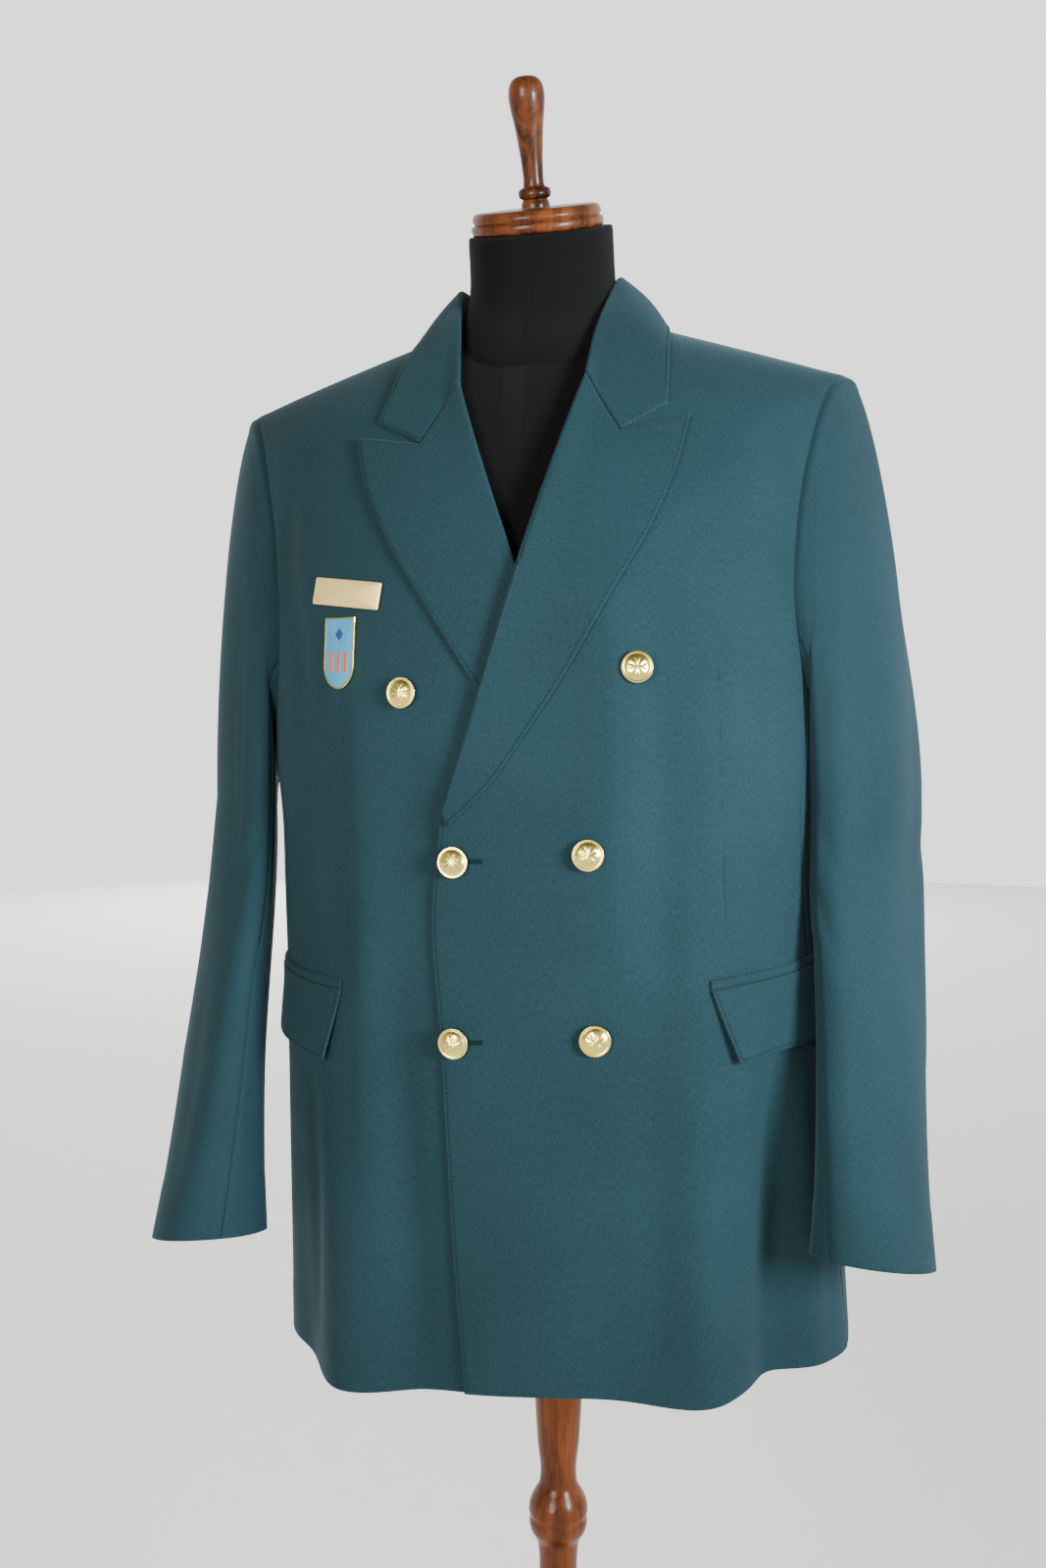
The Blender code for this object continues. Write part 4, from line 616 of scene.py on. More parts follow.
def front_edge_x(z):
    """Front edge seen from ahead: the lap below the break and, above it, just inside the line the lapel
    folds on."""
    folded = np.where(z < GORGE_TOP[1] - 0.004, roll_x(z), neckline_x(z)) + FOLD_ROOM
    return np.where(z < BREAK_Z, -look_up(FRONT_EDGES, "lap", z), folded)


def back_top(x):
    """Level of a back panel's top edge: the shoulder seam, and inside the neck point the neckline."""
    return TOP_EDGE - BACK_NECK_DROP * np.sqrt(np.clip(1 - (x / NECK_POINT_X) ** 2, 0, 1))


def sleeve_ring(side, turn, z):
    """A point of the hanging sleeve: an oval with unlike inner and outer halves, turned a little to the
    front."""
    place = {name: look_up(SLEEVE_RINGS[::-1], name, z) for name in SleeveRing._fields[1:]}
    hand = "left" if side > 0 else "right"
    short = np.where(np.cos(turn) > 0, place["out_" + hand], place["inn"]) * np.cos(turn)
    long = np.where(np.sin(turn) > 0, place["fore"], place["aft"]) * np.sin(turn)
    swing = np.radians(place["turn_deg"])
    x = place["x_" + hand] + short * np.cos(swing) - long * np.sin(swing)
    y = place["y"] - short * np.sin(swing) - long * np.cos(swing)
    tilt = np.clip((SLEEVE_TOP_Z - z) / (SLEEVE_TOP_Z - CUFF_Z), 0, 1)
    rise = -(tilt**2) * (CUFF_TILT * (y - place["y"]) + CUFF_DROP * short + RIGHT_CUFF_LOW * (side < 0))
    return np.stack([side * x, y, z + rise], axis=-1)


def sleeve(side, turn, down):
    """The sleeve by turn round it and by the way down: 0 to 1 is the cap from the armhole, 1 to 2 the
    hanging part. The cap is a Hermite curve from each point of the armhole, leaving it outward, to the
    top ring, going down."""
    turn, down = np.broadcast_arrays(np.asarray(turn, float), np.asarray(down, float))
    angle, level = armhole(turn % (2 * math.pi))
    end = sleeve_ring(side, turn, SLEEVE_TOP_Z + (CUFF_Z - SLEEVE_TOP_Z) * np.clip(down - 1, 0, 1))
    upper = (1 + np.cos(turn)) / 2
    leave = unit(np.stack([side * np.ones_like(turn), -0.45 * np.sin(turn), -0.15 * upper - 0.05], axis=-1))
    pull = CAP_PULL[0] + CAP_PULL[1] * upper
    drop = CAP_DROP[0] + CAP_DROP[1] * upper
    arrive = np.stack([np.zeros_like(turn), np.zeros_like(turn), -drop], axis=-1)
    start = leant(body(side * angle, level)) - leave * TUCK
    cap = hermite(start, leave * pull[..., None], end, arrive, np.clip(down, 0, 1)[..., None])
    return np.where(down[..., None] > 1, end, cap)


def polyline(points, counts):
    """Points along straight runs, so that the corners between runs are kept."""
    runs = [np.linspace(a, b, count, endpoint=False) for a, b, count in zip(points, points[1:], counts)]
    return np.concatenate([*runs, [points[-1]]])


def lapel_plan(rows):
    """Front-view places of the lapel: rows from the break up to the gorge and peak, columns from the roll
    outward."""
    along = np.linspace(0, 1, rows)
    edge = np.stack([look_up(LAPEL_EDGE, name, along) for name in ("x", "z")], axis=-1)
    bottom_z = BREAK_Z + LAPEL_START
    roll_z = bottom_z + (GORGE_TOP[1] - bottom_z) * along
    roll = np.stack([roll_x(roll_z), roll_z], axis=-1)
    top = polyline((GORGE_TOP, GORGE, PEAK), LAPEL_TOP_COUNTS)
    share = np.linspace(0, 1, len(top))[None, :, None]
    straight_top = roll[-1] + (edge[-1] - roll[-1]) * share[0]
    bend = (top - straight_top)[None, :, :] * (along[:, None, None] ** 3)
    return roll[:, None, :] * (1 - share) + edge[:, None, :] * share + bend


def turned_back(side, plan, radius):
    """Centre line grid of cloth that comes round a roll and lies back on the panel, half a circle and
    then the plan, and its outward side: over the arc it swings from under the panel, round, to the
    top."""
    x, z = plan[..., 0], plan[..., 1]
    angle, level = front_chart(side * x, z)
    flat = front_face(side, angle, level, CLOTH / 2 + REST)
    angle, level = front_chart(side * x[:, 0], z[:, 0])
    up = body_normal(angle, level)
    outward = across_of(flat[:, 1] - flat[:, 0], up)
    root = front_face(side, angle, level, -CLOTH / 2)
    turns = np.radians([0, *np.linspace(0, 180, ARC_POINTS)])
    reach = np.where(np.arange(ARC_POINTS + 1) == 0, FOLD_ROOM - 0.0008, 0.0)
    arc = (
        root[:, None]
        + outward[:, None] * np.maximum(radius + SEAM - radius * np.sin(turns), reach)[..., None]
        + up[:, None] * (radius * (1 - np.cos(turns)))[..., None]
    )
    away = np.linalg.norm(flat - flat[:, :1], axis=-1)
    proud = np.maximum(2 * radius - CLOTH - REST, 0) * bell(away, 0.016)
    laid = flat + up[:, None] * proud[..., None]
    centre = np.concatenate([arc, laid[:, 1:]], axis=1)
    facing = np.repeat(up[:, None], centre.shape[1], axis=1)
    middle = (centre[:, 1:2] + centre[:, ARC_POINTS : ARC_POINTS + 1]) / 2
    facing[:, : ARC_POINTS + 1] = unit(centre[:, : ARC_POINTS + 1] - middle)
    return centre, up, facing


def over_shoulder(x, z, facing):
    """Place on the body seen at x, z from the front or from behind, as one run from the front (0) over
    the shoulder line (1) to the back (2)."""
    _, level = front_chart(x, np.minimum(z, ridge_z(x)))
    rise = np.clip(level - 1, 0, 1)
    return np.where(facing > 0, rise, 2 - rise)


def top_point(side, x, run, lift):
    """The point of the body surface at x and a run over the shoulder, moved out. Both halves are worked
    out alike, so the right half comes back turned over to the left."""
    rise = np.minimum(run, 2 - run)
    angle = angle_at(side * x / look_up(SHOULDER_WIDTHS, "half_width", rise), BODY_RINGS[-1].square)
    points = outer(np.where(run > 1, math.pi - angle, angle), 1 + rise, lift)
    points[:, 0] *= side
    return points


def neck_runs():
    """Run over the shoulder of the neckline's table: behind it dips, in front it goes down to the gorge."""
    behind = [1 + BACK_NECK_DROP * math.sqrt(1 - (x / NECK_POINT_X) ** 2) for x in NECK_X[:3]]
    ahead = over_shoulder(np.array(NECK_X[4:]), np.array(NECK_Z[1:]), 1)
    return np.array([*behind, 1.0, *ahead])


def collar_facing(centre):
    """Outward side of the collar's rows: away from the middle line between its stand and its fall."""
    first, last = STAND_POINTS, ROLL_END
    facing = centre - (centre[:, first : first + 1] + centre[:, last : last + 1]) / 2
    facing[:, :first] = facing[:, first : first + 1]
    facing[:, last + 1 :] = facing[:, last : last + 1]
    return unit(facing)


def collar_end(side):
    """The collar's last row: the lapel's own roll at the gorge, then along the gorge to the collar's
    point."""
    top = polyline((GORGE_TOP, GORGE, COLLAR_POINT), (GORGE_POINTS, FALL_POINTS - GORGE_POINTS))
    plan = np.stack([top, top])
    plan[..., 1] += GORGE_GAP
    centre, _, facing = turned_back(side, plan, np.array([[SOFT_ROLL], [SOFT_ROLL]]))
    share = np.linspace(0, 1, STAND_POINTS, endpoint=False)[:, None]
    row = np.concatenate([centre[0, :1] + (centre[0, 1:2] - centre[0, :1]) * share, centre[0, 1:]])
    return row, np.concatenate([np.repeat(facing[0, :1], STAND_POINTS, axis=0), facing[0, 1:]])


def frame_at(point, normal, up=(0.0, 0.0, 1.0)):
    """Matrix that puts Z along a normal and Y as near up as it goes."""
    z_axis = Vector(normal).normalized()
    x_axis = Vector(up).cross(z_axis).normalized()
    matrix = Matrix((x_axis, z_axis.cross(x_axis), z_axis)).transposed().to_4x4()
    matrix.translation = Vector(point)
    return matrix


def on_front(side, place, up=(0.0, 0.0, 1.0)):
    """Leant matrix of what is sewn on a front, at a place seen from ahead."""
    angle, level = front_chart(*place)
    point = leant(front_face(side, angle, level, SEAM))
    return frame_at(point, leant(front_face(side, angle, level, SEAM + 1.0)) - point, up)


def crease_sum(rows, radius, length, turn, down):
    """Sum of creases: a bell across each one's bowed middle line, fading to nothing at its ends. It is
    measured round at a radius, and down in units of a length."""
    total = np.zeros(np.broadcast(turn, down).shape)
    for fold in rows:
        run = math.radians(fold.deg_b - fold.deg_a) * radius
        drop = (fold.down_b - fold.down_a) * length
        reach = math.hypot(run, drop)
        away = wrapped(turn - math.radians((fold.deg_a + fold.deg_b) / 2)) * radius + run / 2
        low = (down - fold.down_a) * length
        share = np.clip((away * run + low * drop) / reach**2, 0, 1)
        across = (low * run - away * drop) / reach - fold.bow * np.sin(math.pi * share)
        fade = np.clip(4 * share * (1 - share), 0, 1) ** 0.7
        total = total + fold.depth * fade * bell(across, fold.width)
    return total


def outer(angle, level, lift=0.0):
    """A point of the creased body surface, moved out along its normal."""
    plain = body(angle, level)
    lift = np.asarray(lift, float) + crease_sum(CREASES, BODY_RADIUS, 1.0, angle, plain[..., 2])
    return plain + body_normal(angle, level) * lift[..., None]


def new_object(name, points, quads, material, slot=None, node=None, smooth=True):
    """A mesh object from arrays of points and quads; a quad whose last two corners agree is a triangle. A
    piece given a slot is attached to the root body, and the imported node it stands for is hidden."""
    mesh = bpy.data.meshes.new(name)
    quads = np.asarray(quads, np.int32)
    mesh.vertices.add(len(points))
    mesh.vertices.foreach_set("co", np.asarray(points, np.float32).ravel())
    corner = np.ones(quads.shape, bool)
    corner[:, 3] = quads[:, 3] != quads[:, 2]
    sizes = corner.sum(axis=1)
    mesh.loops.add(int(sizes.sum()))
    mesh.loops.foreach_set("vertex_index", quads[corner])
    mesh.polygons.add(len(quads))
    mesh.polygons.foreach_set("loop_start", np.concatenate([[0], np.cumsum(sizes)[:-1]]).astype(np.int32))
    mesh.update(calc_edges=True)
    mesh.polygons.foreach_set("use_smooth", np.full(len(quads), smooth))
    made = bpy.data.objects.new(name, mesh)
    made.data.materials.append(material)
    bpy.context.scene.collection.objects.link(made)
    if slot:
        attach(made, "root")
    if node:
        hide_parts(node)
    return made


def grid_quads(rows, columns, first=0, wrap=False):
    """Quads of a grid of points numbered row by row, closed round its columns if asked."""
    across = np.arange(columns if wrap else columns - 1)
    low = np.arange(rows - 1)[:, None] * columns + across[None, :]
    right = np.arange(rows - 1)[:, None] * columns + ((across + 1) % columns)[None, :]
    quads = np.stack([low, right, right + columns, low + columns], axis=-1)
    return quads.reshape(-1, 4) + first


def capped_quads(rows, columns):
    """Quads of closed rings, with a fan over each end to the two points that follow them."""
    here = np.arange(columns)
    after = (here + 1) % columns
    low = (rows - 1) * columns
    first, last = np.full(columns, rows * columns), np.full(columns, rows * columns + 1)
    foot = np.stack([after, here, first, first], axis=-1)
    lid = np.stack([here + low, after + low, last, last], axis=-1)
    return np.concatenate([grid_quads(rows, columns, wrap=True), foot, lid])


def facing_out(points, quads):
    """Quads turned over if the volume that they enclose counts as negative."""
    a, b, c, d = (points[quads[:, k]] for k in range(4))
    if (np.cross(a, b) * c).sum() + (np.cross(a, c) * d).sum() < 0:
        return np.where(quads[:, 2:3] == quads[:, 3:4], quads[:, [1, 0, 2, 3]], quads[:, ::-1])
    return quads


def ring_of(rows, columns):
    """Border of a grid, in order round it."""
    right = np.arange(1, rows) * columns + columns - 1
    top = (rows - 1) * columns + np.arange(columns - 2, -1, -1)
    return np.concatenate([np.arange(columns), right, top, np.arange(rows - 2, 0, -1) * columns])


def arc_along(face, axis):
    """Length along a grid's rows or columns from their first point."""
    step = np.linalg.norm(np.diff(face, axis=axis), axis=-1)
    start = np.zeros_like(np.take(step, [0], axis=axis))
    return np.concatenate([start, np.cumsum(step, axis=axis)], axis=axis)


def weave_map(mesh, flat):
    """A UV map in metres along the cloth, which the weave follows."""
    layer = mesh.uv_layers.new(name="weave")
    corners = np.empty(len(mesh.loops), np.int32)
    mesh.loops.foreach_get("vertex_index", corners)
    layer.data.foreach_set("uv", flat[corners].astype(np.float32).ravel())


def cloth_piece(name, face, inside, material, held, lean=True, sewn=None, turn_uv=0.0, strips=()):
    """A closed wall of cloth from a grid of outer points and one of inner points. Its rim is rounded: a
    middle row stands a little out from the two edges. The distance to the nearest sewn line goes to the
    material. Its flat size, measured along its grid, goes to its weave map. The strips argument is not
    used."""
    if lean:
        face, inside = leant(face), leant(inside)
    rows, columns = face.shape[:2]
    count = rows * columns
    ring = ring_of(rows, columns)
    row, place = np.unravel_index(ring, (rows, columns))
    flat_face, flat_inside = face.reshape(-1, 3).copy(), inside.reshape(-1, 3).copy()
    out = unit(flat_face[ring] - face[np.clip(row, 1, rows - 2), np.clip(place, 1, columns - 2)])
    thick = np.linalg.norm(flat_face[ring] - flat_inside[ring], axis=-1, keepdims=True)
    rim = (flat_face[ring] + flat_inside[ring]) / 2 + out * thick * RIM_OUT
    flat_face[ring] -= out * thick * RIM_IN
    flat_inside[ring] -= out * thick * RIM_IN
    points = np.concatenate([flat_face, flat_inside, rim])
    here = 2 * count + np.arange(len(ring))
    after, next_ring = np.roll(here, -1), np.roll(ring, -1)
    quads = np.concatenate(
        [
            grid_quads(rows, columns),
            grid_quads(rows, columns, count)[:, ::-1],
            np.stack([next_ring, ring, here, after], axis=-1),
            np.stack([after, here, ring + count, next_ring + count], axis=-1),
        ]
    )
    made = new_object(name, points, facing_out(points, quads), material, "cloth", name.removesuffix("_cloth"))
    round_, long_ = arc_along(face, 1), arc_along(face, 0)
    flat = np.stack([round_ - round_[:, -1:] / 2, long_[:, :1] + 0 * round_], axis=-1).reshape(-1, 2)
    flat = flat @ np.array([[math.cos(turn_uv), math.sin(turn_uv)], [-math.sin(turn_uv), math.cos(turn_uv)]])
    weave_map(made.data, np.concatenate([flat, flat, flat[ring]]))
    sewn = (np.full((rows, columns), FAR) if sewn is None else sewn).reshape(-1)
    layer = made.data.attributes.new("sewn", "FLOAT", "POINT")
    layer.data.foreach_set("value", np.concatenate([sewn, sewn, sewn[ring]]).astype(np.float32))
    return made


def dense(count, both=True):
    """Shares from 0 to 1, closer together at the ends, or only at the start."""
    share = np.linspace(0, 1, count)
    if both:
        return share - 0.75 * np.sin(2 * math.pi * share) / (2 * math.pi)
    return share - 0.75 * np.sin(math.pi * share) / math.pi * (1 - share)


def edge_runs(face, edges):
    """Distance along a grid from each of its named edges."""
    round_, long_ = arc_along(face, 1), arc_along(face, 0)
    away = {"left": round_, "right": round_[:, -1:] - round_, "low": long_, "top": long_[-1:] - long_}
    return [away[edge] for edge in edges]


def seam_dip(face, edges):
    """How far a panel sinks beside the sewn edges of its grid, and swells next to that."""
    depth, width = SEAM_SINK
    height, distance, spread = SEAM_SWELL
    return sum(
        height * bell(away - distance, spread) - depth * bell(away, width)
        for away in edge_runs(face, edges)
    )


def edge_distance(face, *edges):
    """Distance to the nearest of the named edges of a grid."""
    return np.minimum(np.minimum.reduce(edge_runs(face, edges)), FAR)


def stitch_distance(face, *edges):
    """Distance to the top-stitching, which runs inside the named edges."""
    return np.abs(edge_distance(face, *edges) - STITCH_IN)


def panel(name, angles, levels, cloth, edges, lift=0.0, more=0.0, sewn=None):
    """A body panel over a grid of angles and levels: it sinks beside its sewn edges, and its inner side
    lies under its outer one by the cloth's thickness."""
    dip = seam_dip(outer(angles, levels, lift), edges) + more
    face = outer(angles, levels, lift + dip)
    cloth_piece(name, face, outer(angles, levels, lift - CLOTH), cloth, DRAPED, sewn=sewn)
    return face


def build_front(name, side, cloth):
    """Rows of constant level from hem to shoulder, columns of constant share of the way from the front
    edge to the side seam and the armhole."""
    _, above = armhole(np.radians(FRONT_JOIN_TURN * (1 - np.linspace(0, 1, 71)[1:])))
    above[-1] = TOP_EDGE
    levels = np.concatenate([dense(120) * join(False)[1], above])
    half = body(math.pi / 2, levels)[:, 0]
    edge = np.full(len(levels), -0.05)
    for _ in range(14):
        z = body(np.arcsin(np.clip(edge / half, -1, 1)), levels)[:, 2]
        edge = front_edge_x(z)
    first = angle_at(edge / half, look_up(BODY_RINGS, "square", np.minimum(z, CHEST_Z)))
    last = side_seam(levels, False)
    last = last - seam_gap(last, levels)
    angles = side * (first[:, None] + (last - first)[:, None] * dense(86)[None, :])
    levels = np.broadcast_to(levels[:, None], angles.shape)
    lift = lift_of(side, angles, levels)
    plain = outer(angles, levels, lift)
    x, top, low = DARTS[name]
    z = plain[..., 2]
    dart = np.hypot(np.abs(np.abs(plain[..., 0]) - x), np.maximum(z - top, 0) + np.maximum(low - z, 0))
    more = HEM_PROUD * ease(-edge_distance(plain, "low"), *HEM_TURN) - DART_SINK[0] * bell(dart, DART_SINK[1])
    stitched = np.minimum(stitch_distance(plain, "left"), np.where(dart < 0.02, dart, FAR))
    return panel(name + "_front_cloth", angles, levels, cloth, ("right", "top"), lift, more, stitched)


def build_side(name, side, cloth):
    """Rows up the two long seams, columns round from the front to the back one; the top follows the
    armhole."""
    top_angle, top_level = armhole(np.radians(np.linspace(FRONT_JOIN_TURN, BACK_JOIN_TURN, 41)))
    levels = dense(110)[:, None] * top_level[None, :]
    share = (top_angle - top_angle[0]) / (top_angle[-1] - top_angle[0])
    first, last = side_seam(levels, False), side_seam(levels, True)
    first = first + seam_gap(first, levels)
    last = last - seam_gap(last, levels)
    angles = side * (first + (last - first) * share)
    panel(name + "_side_cloth", angles, levels, cloth, ("left", "right", "top"))


def build_back(name, side, cloth):
    """Rows up the side seam and then up the armhole, squeezed towards the neckline; columns from the
    centre seam."""
    turns = np.radians(BACK_JOIN_TURN + (360 - BACK_JOIN_TURN) * np.linspace(0, 1, 71)[1:])
    levels = np.concatenate([dense(105) * join(True)[1], armhole(turns)[1]])[:, None]
    share = dense(76)[None, :]
    angles = np.zeros((levels.shape[0], share.shape[1])) + math.pi
    for _ in range(10):
        top = back_top(np.abs(body(angles, np.minimum(levels, 2))[..., 0]))
        scaled = np.where(levels > 1, 1 + (levels - 1) * (top - 1), levels)
        last = side_seam(scaled, True)
        last = last + seam_gap(last, scaled)
        first = math.pi - seam_gap(math.pi, scaled)
        angles = first + (last - first) * share
    panel(name + "_back_cloth", side * angles, scaled, cloth, ("left", "right", "top"))


def build_sleeves(cloth):
    """Columns round the sleeve, rows from the armhole over the cap and down to the cuff."""
    gap = SEWN_GAP / SLEEVE_RADIUS
    front, back = math.radians(FRONT_SEAM_TURN), math.radians(BACK_SEAM_TURN)
    spans = {"upper": (back - 2 * math.pi + gap, front - gap, 74), "under": (front + gap, back - gap, 60)}
    downs = np.concatenate([dense(60, both=False), 1 + np.linspace(0, 1, 101)[1:]])[:, None]
    for name, side in SIDES.items():
        for part, (first, last, columns) in spans.items():
            turns = (first + (last - first) * dense(columns))[None, :]
            face = sleeve(side, turns, downs)
            along = sleeve(side, turns + 1e-3, downs) - sleeve(side, turns - 1e-3, downs)
            way = sleeve(side, turns, np.minimum(downs + 1e-3, 2))
            way = way - sleeve(side, turns, np.maximum(downs - 1e-3, 0))
            normal = unit(-side * np.cross(way, along))
            dip = crease_sum(SLEEVE_CREASES[name], SLEEVE_RADIUS, SLEEVE_LENGTH, turns, downs)
            dip = dip + seam_dip(face, ("left", "right"))
            head = arc_along(face, 0)
            proud = HEAD_PROUD * bell(head - 0.006, 0.006) * np.clip(np.cos(turns), 0, 1)
            hem = HEM_PROUD * ease(head - head[-1:], *CUFF_TURN)
            dip = (dip + hem + proud) * ease(head, 0.0, 0.006)
            faces = (face + normal * dip[..., None], face - normal * CLOTH)
            cloth_piece(f"{name}_{part}_sleeve_cloth", *faces, cloth, HUNG_ON_FRONTS, lean=False)


def thick_grid(centre, facing):
    """Outer and inner points of a wall of cloth about its middle, with the outside towards the given
    directions."""
    normal = smooth_normals(centre)
    turn = np.sign((normal * facing).sum(axis=-1, keepdims=True))
    normal = normal * np.where(turn == 0, 1, turn)
    return centre + normal * (CLOTH / 2), centre - normal * CLOTH / 2


def build_lapel(name, side, cloth):
    """Rows up the roll line, columns from under the front, round the roll and out to the lapel's edge.
    Its outer part stands off the chest a little, because it is two layers of cloth and a facing."""
    plan = lapel_plan(96)
    soft_from = 1.10 if side > 0 else 1.235
    radius = FLAT_ROLL + (SOFT_ROLL - FLAT_ROLL) * ease(plan[:, 0, 1], soft_from, soft_from + 0.10)
    centre, up, facing = turned_back(side, plan, radius[:, None])
    share = np.clip(arc_along(centre, 1) / 0.12, 0, 1)
    centre = centre + up[:, None] * (0.0010 * ease(share, 0.25, 0.9))[..., None]
    face, inside = thick_grid(centre, facing)
    stitched = stitch_distance(face, "right")
    cloth_piece(name + "_lapel_cloth", face, inside, cloth, DRAPED, sewn=stitched, turn_uv=0.35 * side)
    return face


def collar_grid():
    """Rows along the collar from right to left, columns up the stand, round the fold and down the fall."""
    half = np.linspace(0, 1, 64)
    along = np.concatenate([-half[:0:-1], half])
    side = np.where(along < 0, -1.0, 1.0)
    q = np.abs(along)
    table = np.array(FOLD_LINE)
    fold = np.stack([read(table[:, 0], table[:, i], q) for i in (1, 2, 3)], axis=-1)
    fold[:, 0] = shifted(fold[:, 0] * side) * side
    key = column(COLLAR_EDGE, "along")
    places = {}
    for sign, name in ((1, "x_left"), (-1, "x_right")):
        x = column(COLLAR_EDGE, name)
        run = over_shoulder(x, column(COLLAR_EDGE, "z"), column(COLLAR_EDGE, "facing"))
        places[sign] = (read(key, x, q), read(key, run, q))
    x, run = (np.where(side > 0, left, right) for left, right in zip(places[1], places[-1]))
    outside = top_point(side, x, run, REST + CLOTH / 2)
    seat = top_point(side, read(NECK_ALONG, NECK_X, q), read(NECK_ALONG, neck_runs(), q), -CLOTH / 2)
    apex = unit(fold - (seat + outside) / 2)
    across = across_of(outside - seat, apex)
    seat = seat + (fold - seat) * (STAND_FOOT / np.linalg.norm(fold - seat, axis=-1))[:, None]
    roll = COLLAR_ROLL
    core = fold - apex * roll
    turns = np.linspace(0, math.pi, ARC_POINTS)[None, :, None]
    arc = core[:, None] - across[:, None] * roll * np.cos(turns) + apex[:, None] * roll * np.sin(turns)
    share = np.linspace(0, 1, STAND_POINTS, endpoint=False)[None, :, None]
    stand = seat[:, None] + (arc[:, :1] - seat[:, None]) * share
    down = np.linspace(0, 1, FALL_POINTS + 1)[None, 1:, None]
    fall = arc[:, -1:] + (outside[:, None] - arc[:, -1:]) * down
    fall = fall + across[:, None] * (COLLAR_BOW * np.sin(math.pi * down))
    centre = np.concatenate([stand, arc, fall], axis=1)
    centre = np.where(side[:, None, None] < 0, centre * [-1, 1, 1], centre)
    facing = collar_facing(centre)
    for end, sign in ((0, -1), (-1, 1)):
        near = ease(q, 0.62, 1.0)[:, None, None] * (side == sign)[:, None, None]
        goal, goal_facing = collar_end(sign)
        centre = centre + (goal - centre[end])[None] * near**1.5
        facing = facing + (goal_facing - facing[end])[None] * near**1.5
    centre[:, ROLL_END:] = settle(centre[:, ROLL_END:], REST + CLOTH / 2)
    return centre, facing


def build_collar(cloth):
    face, inside = thick_grid(*collar_grid())
    stitched = stitch_distance(face, "right", "low", "top")
    cloth_piece("collar_cloth", face, inside, cloth, DRAPED, sewn=stitched)
    return face


def build_pocket(name, side, cloth):
    """A welt strip over the flap; the flap's rows go down from the welt and stand off the skirt towards
    their end."""
    share = dense(90)[None, :]
    down = dense(36)[:, None]
    z_line = FLAP_TOP_Z[0] + (FLAP_TOP_Z[1] - FLAP_TOP_Z[0]) * share
    top_deg, low_deg = FLAP_FRONT_DEG[name]
    held = ("hung", (name + "_front_cloth",))
    up = np.linspace(1, 0, 12)[:, None]
    level = level_at(z_line + SEAM + WELT_HIGH * up)
    angle = side * (np.radians(top_deg + (FLAP_BACK_DEG - top_deg) * share) + 0 * up)
    round_top = 0.0006 + 0.0012 * np.sqrt(np.clip(1 - (2 * up - 1) ** 2, 0.02, 1))
    faces = (front_face(side, angle, level, REST + round_top), front_face(side, angle, level, REST))
    welt = cloth_piece(name + "_pocket_welt_cloth", *faces, cloth, held, strips=None)
    level = level_at(z_line - FLAP_DROP * down)
    first = np.radians(top_deg + (low_deg - top_deg) * down)
    angle = side * (first + (math.radians(FLAP_BACK_DEG) - first) * share)
    stand = 0.0006 + 0.0030 * ease(down, 0.0, 1.0) + 0.0012 * bell(share, 0.10) * down**2
    flap = front_face(side, angle, level, stand + FLAP_THICK + 0.0003 * bell(down, 0.12))
    inside = front_face(side, angle, level, stand)
    stitched = stitch_distance(flap, "left", "right", "top")
    cloth_piece(name + "_pocket_flap_cloth", flap, inside, cloth, held, sewn=stitched, strips=[welt])
    return flap


def inset_line(face, edge, distance):
    """The line over a grid that runs this far inside one of its edges, measured along the grid."""
    if edge in ("left", "right"):
        grid = face if edge == "left" else face[:, ::-1]
    else:
        grid = np.swapaxes(face if edge == "low" else face[::-1], 0, 1)
    away = arc_along(grid, 1)
    row = np.arange(len(grid))
    after = np.clip((away < distance).sum(axis=1), 1, away.shape[1] - 1)
    before = after - 1
    part = (distance - away[row, before]) / np.maximum(away[row, after] - away[row, before], 1e-9)
    return grid[row, before] + (grid[row, after] - grid[row, before]) * np.clip(part, 0, 1)[:, None]


def thread_object(name, place, axis, across, normal, profile, thread, leaning):
    """One object of short lengths of thread: at each place five rings of six points about an axis, by a
    profile of how far along it, how high and how wide, with its two ends closed."""
    along, high, wide = (np.array(row)[None, :, None] for row in profile)
    ring = np.linspace(0, 2 * math.pi, 6, endpoint=False)[:, None]
    rings = place[:, None] + axis[:, None] * along + normal[:, None] * high
    spin = across[:, None, None] * np.cos(ring) + normal[:, None, None] * np.sin(ring)
    points = (rings[:, :, None] + spin * wide[..., None]).reshape(-1, 3)
    caps = [[5, 4, 3, 0], [3, 2, 1, 0], [24, 27, 28, 29], [24, 25, 26, 27]]
    template = np.concatenate([grid_quads(5, 6, wrap=True), caps])
    quads = (template[None] + (30 * np.arange(len(place)))[:, None, None]).reshape(-1, 4)
    new_object(name, leant(points) if leaning else points, quads, thread, "cloth")


def line_with_normals(face, edge, sign, first=0.0, last=1.0):
    """A stitched line over part of a grid's edge, with the grid's own outward normals along it."""
    line = inset_line(face, edge, STITCH_IN)
    normals = unit(inset_line(face + smooth_normals(face) * sign, edge, STITCH_IN) - line)
    part = slice(int(first * len(line)), int(last * len(line)))
    return leant(line[part]), leant(line[part] + normals[part]) - leant(line[part])


def outward_sign(face, ahead):
    """1 or -1, whichever turns a grid's normals to the given direction."""
    return 1.0 if (smooth_normals(face).mean(axis=(0, 1)) * ahead).sum() > 0 else -1.0


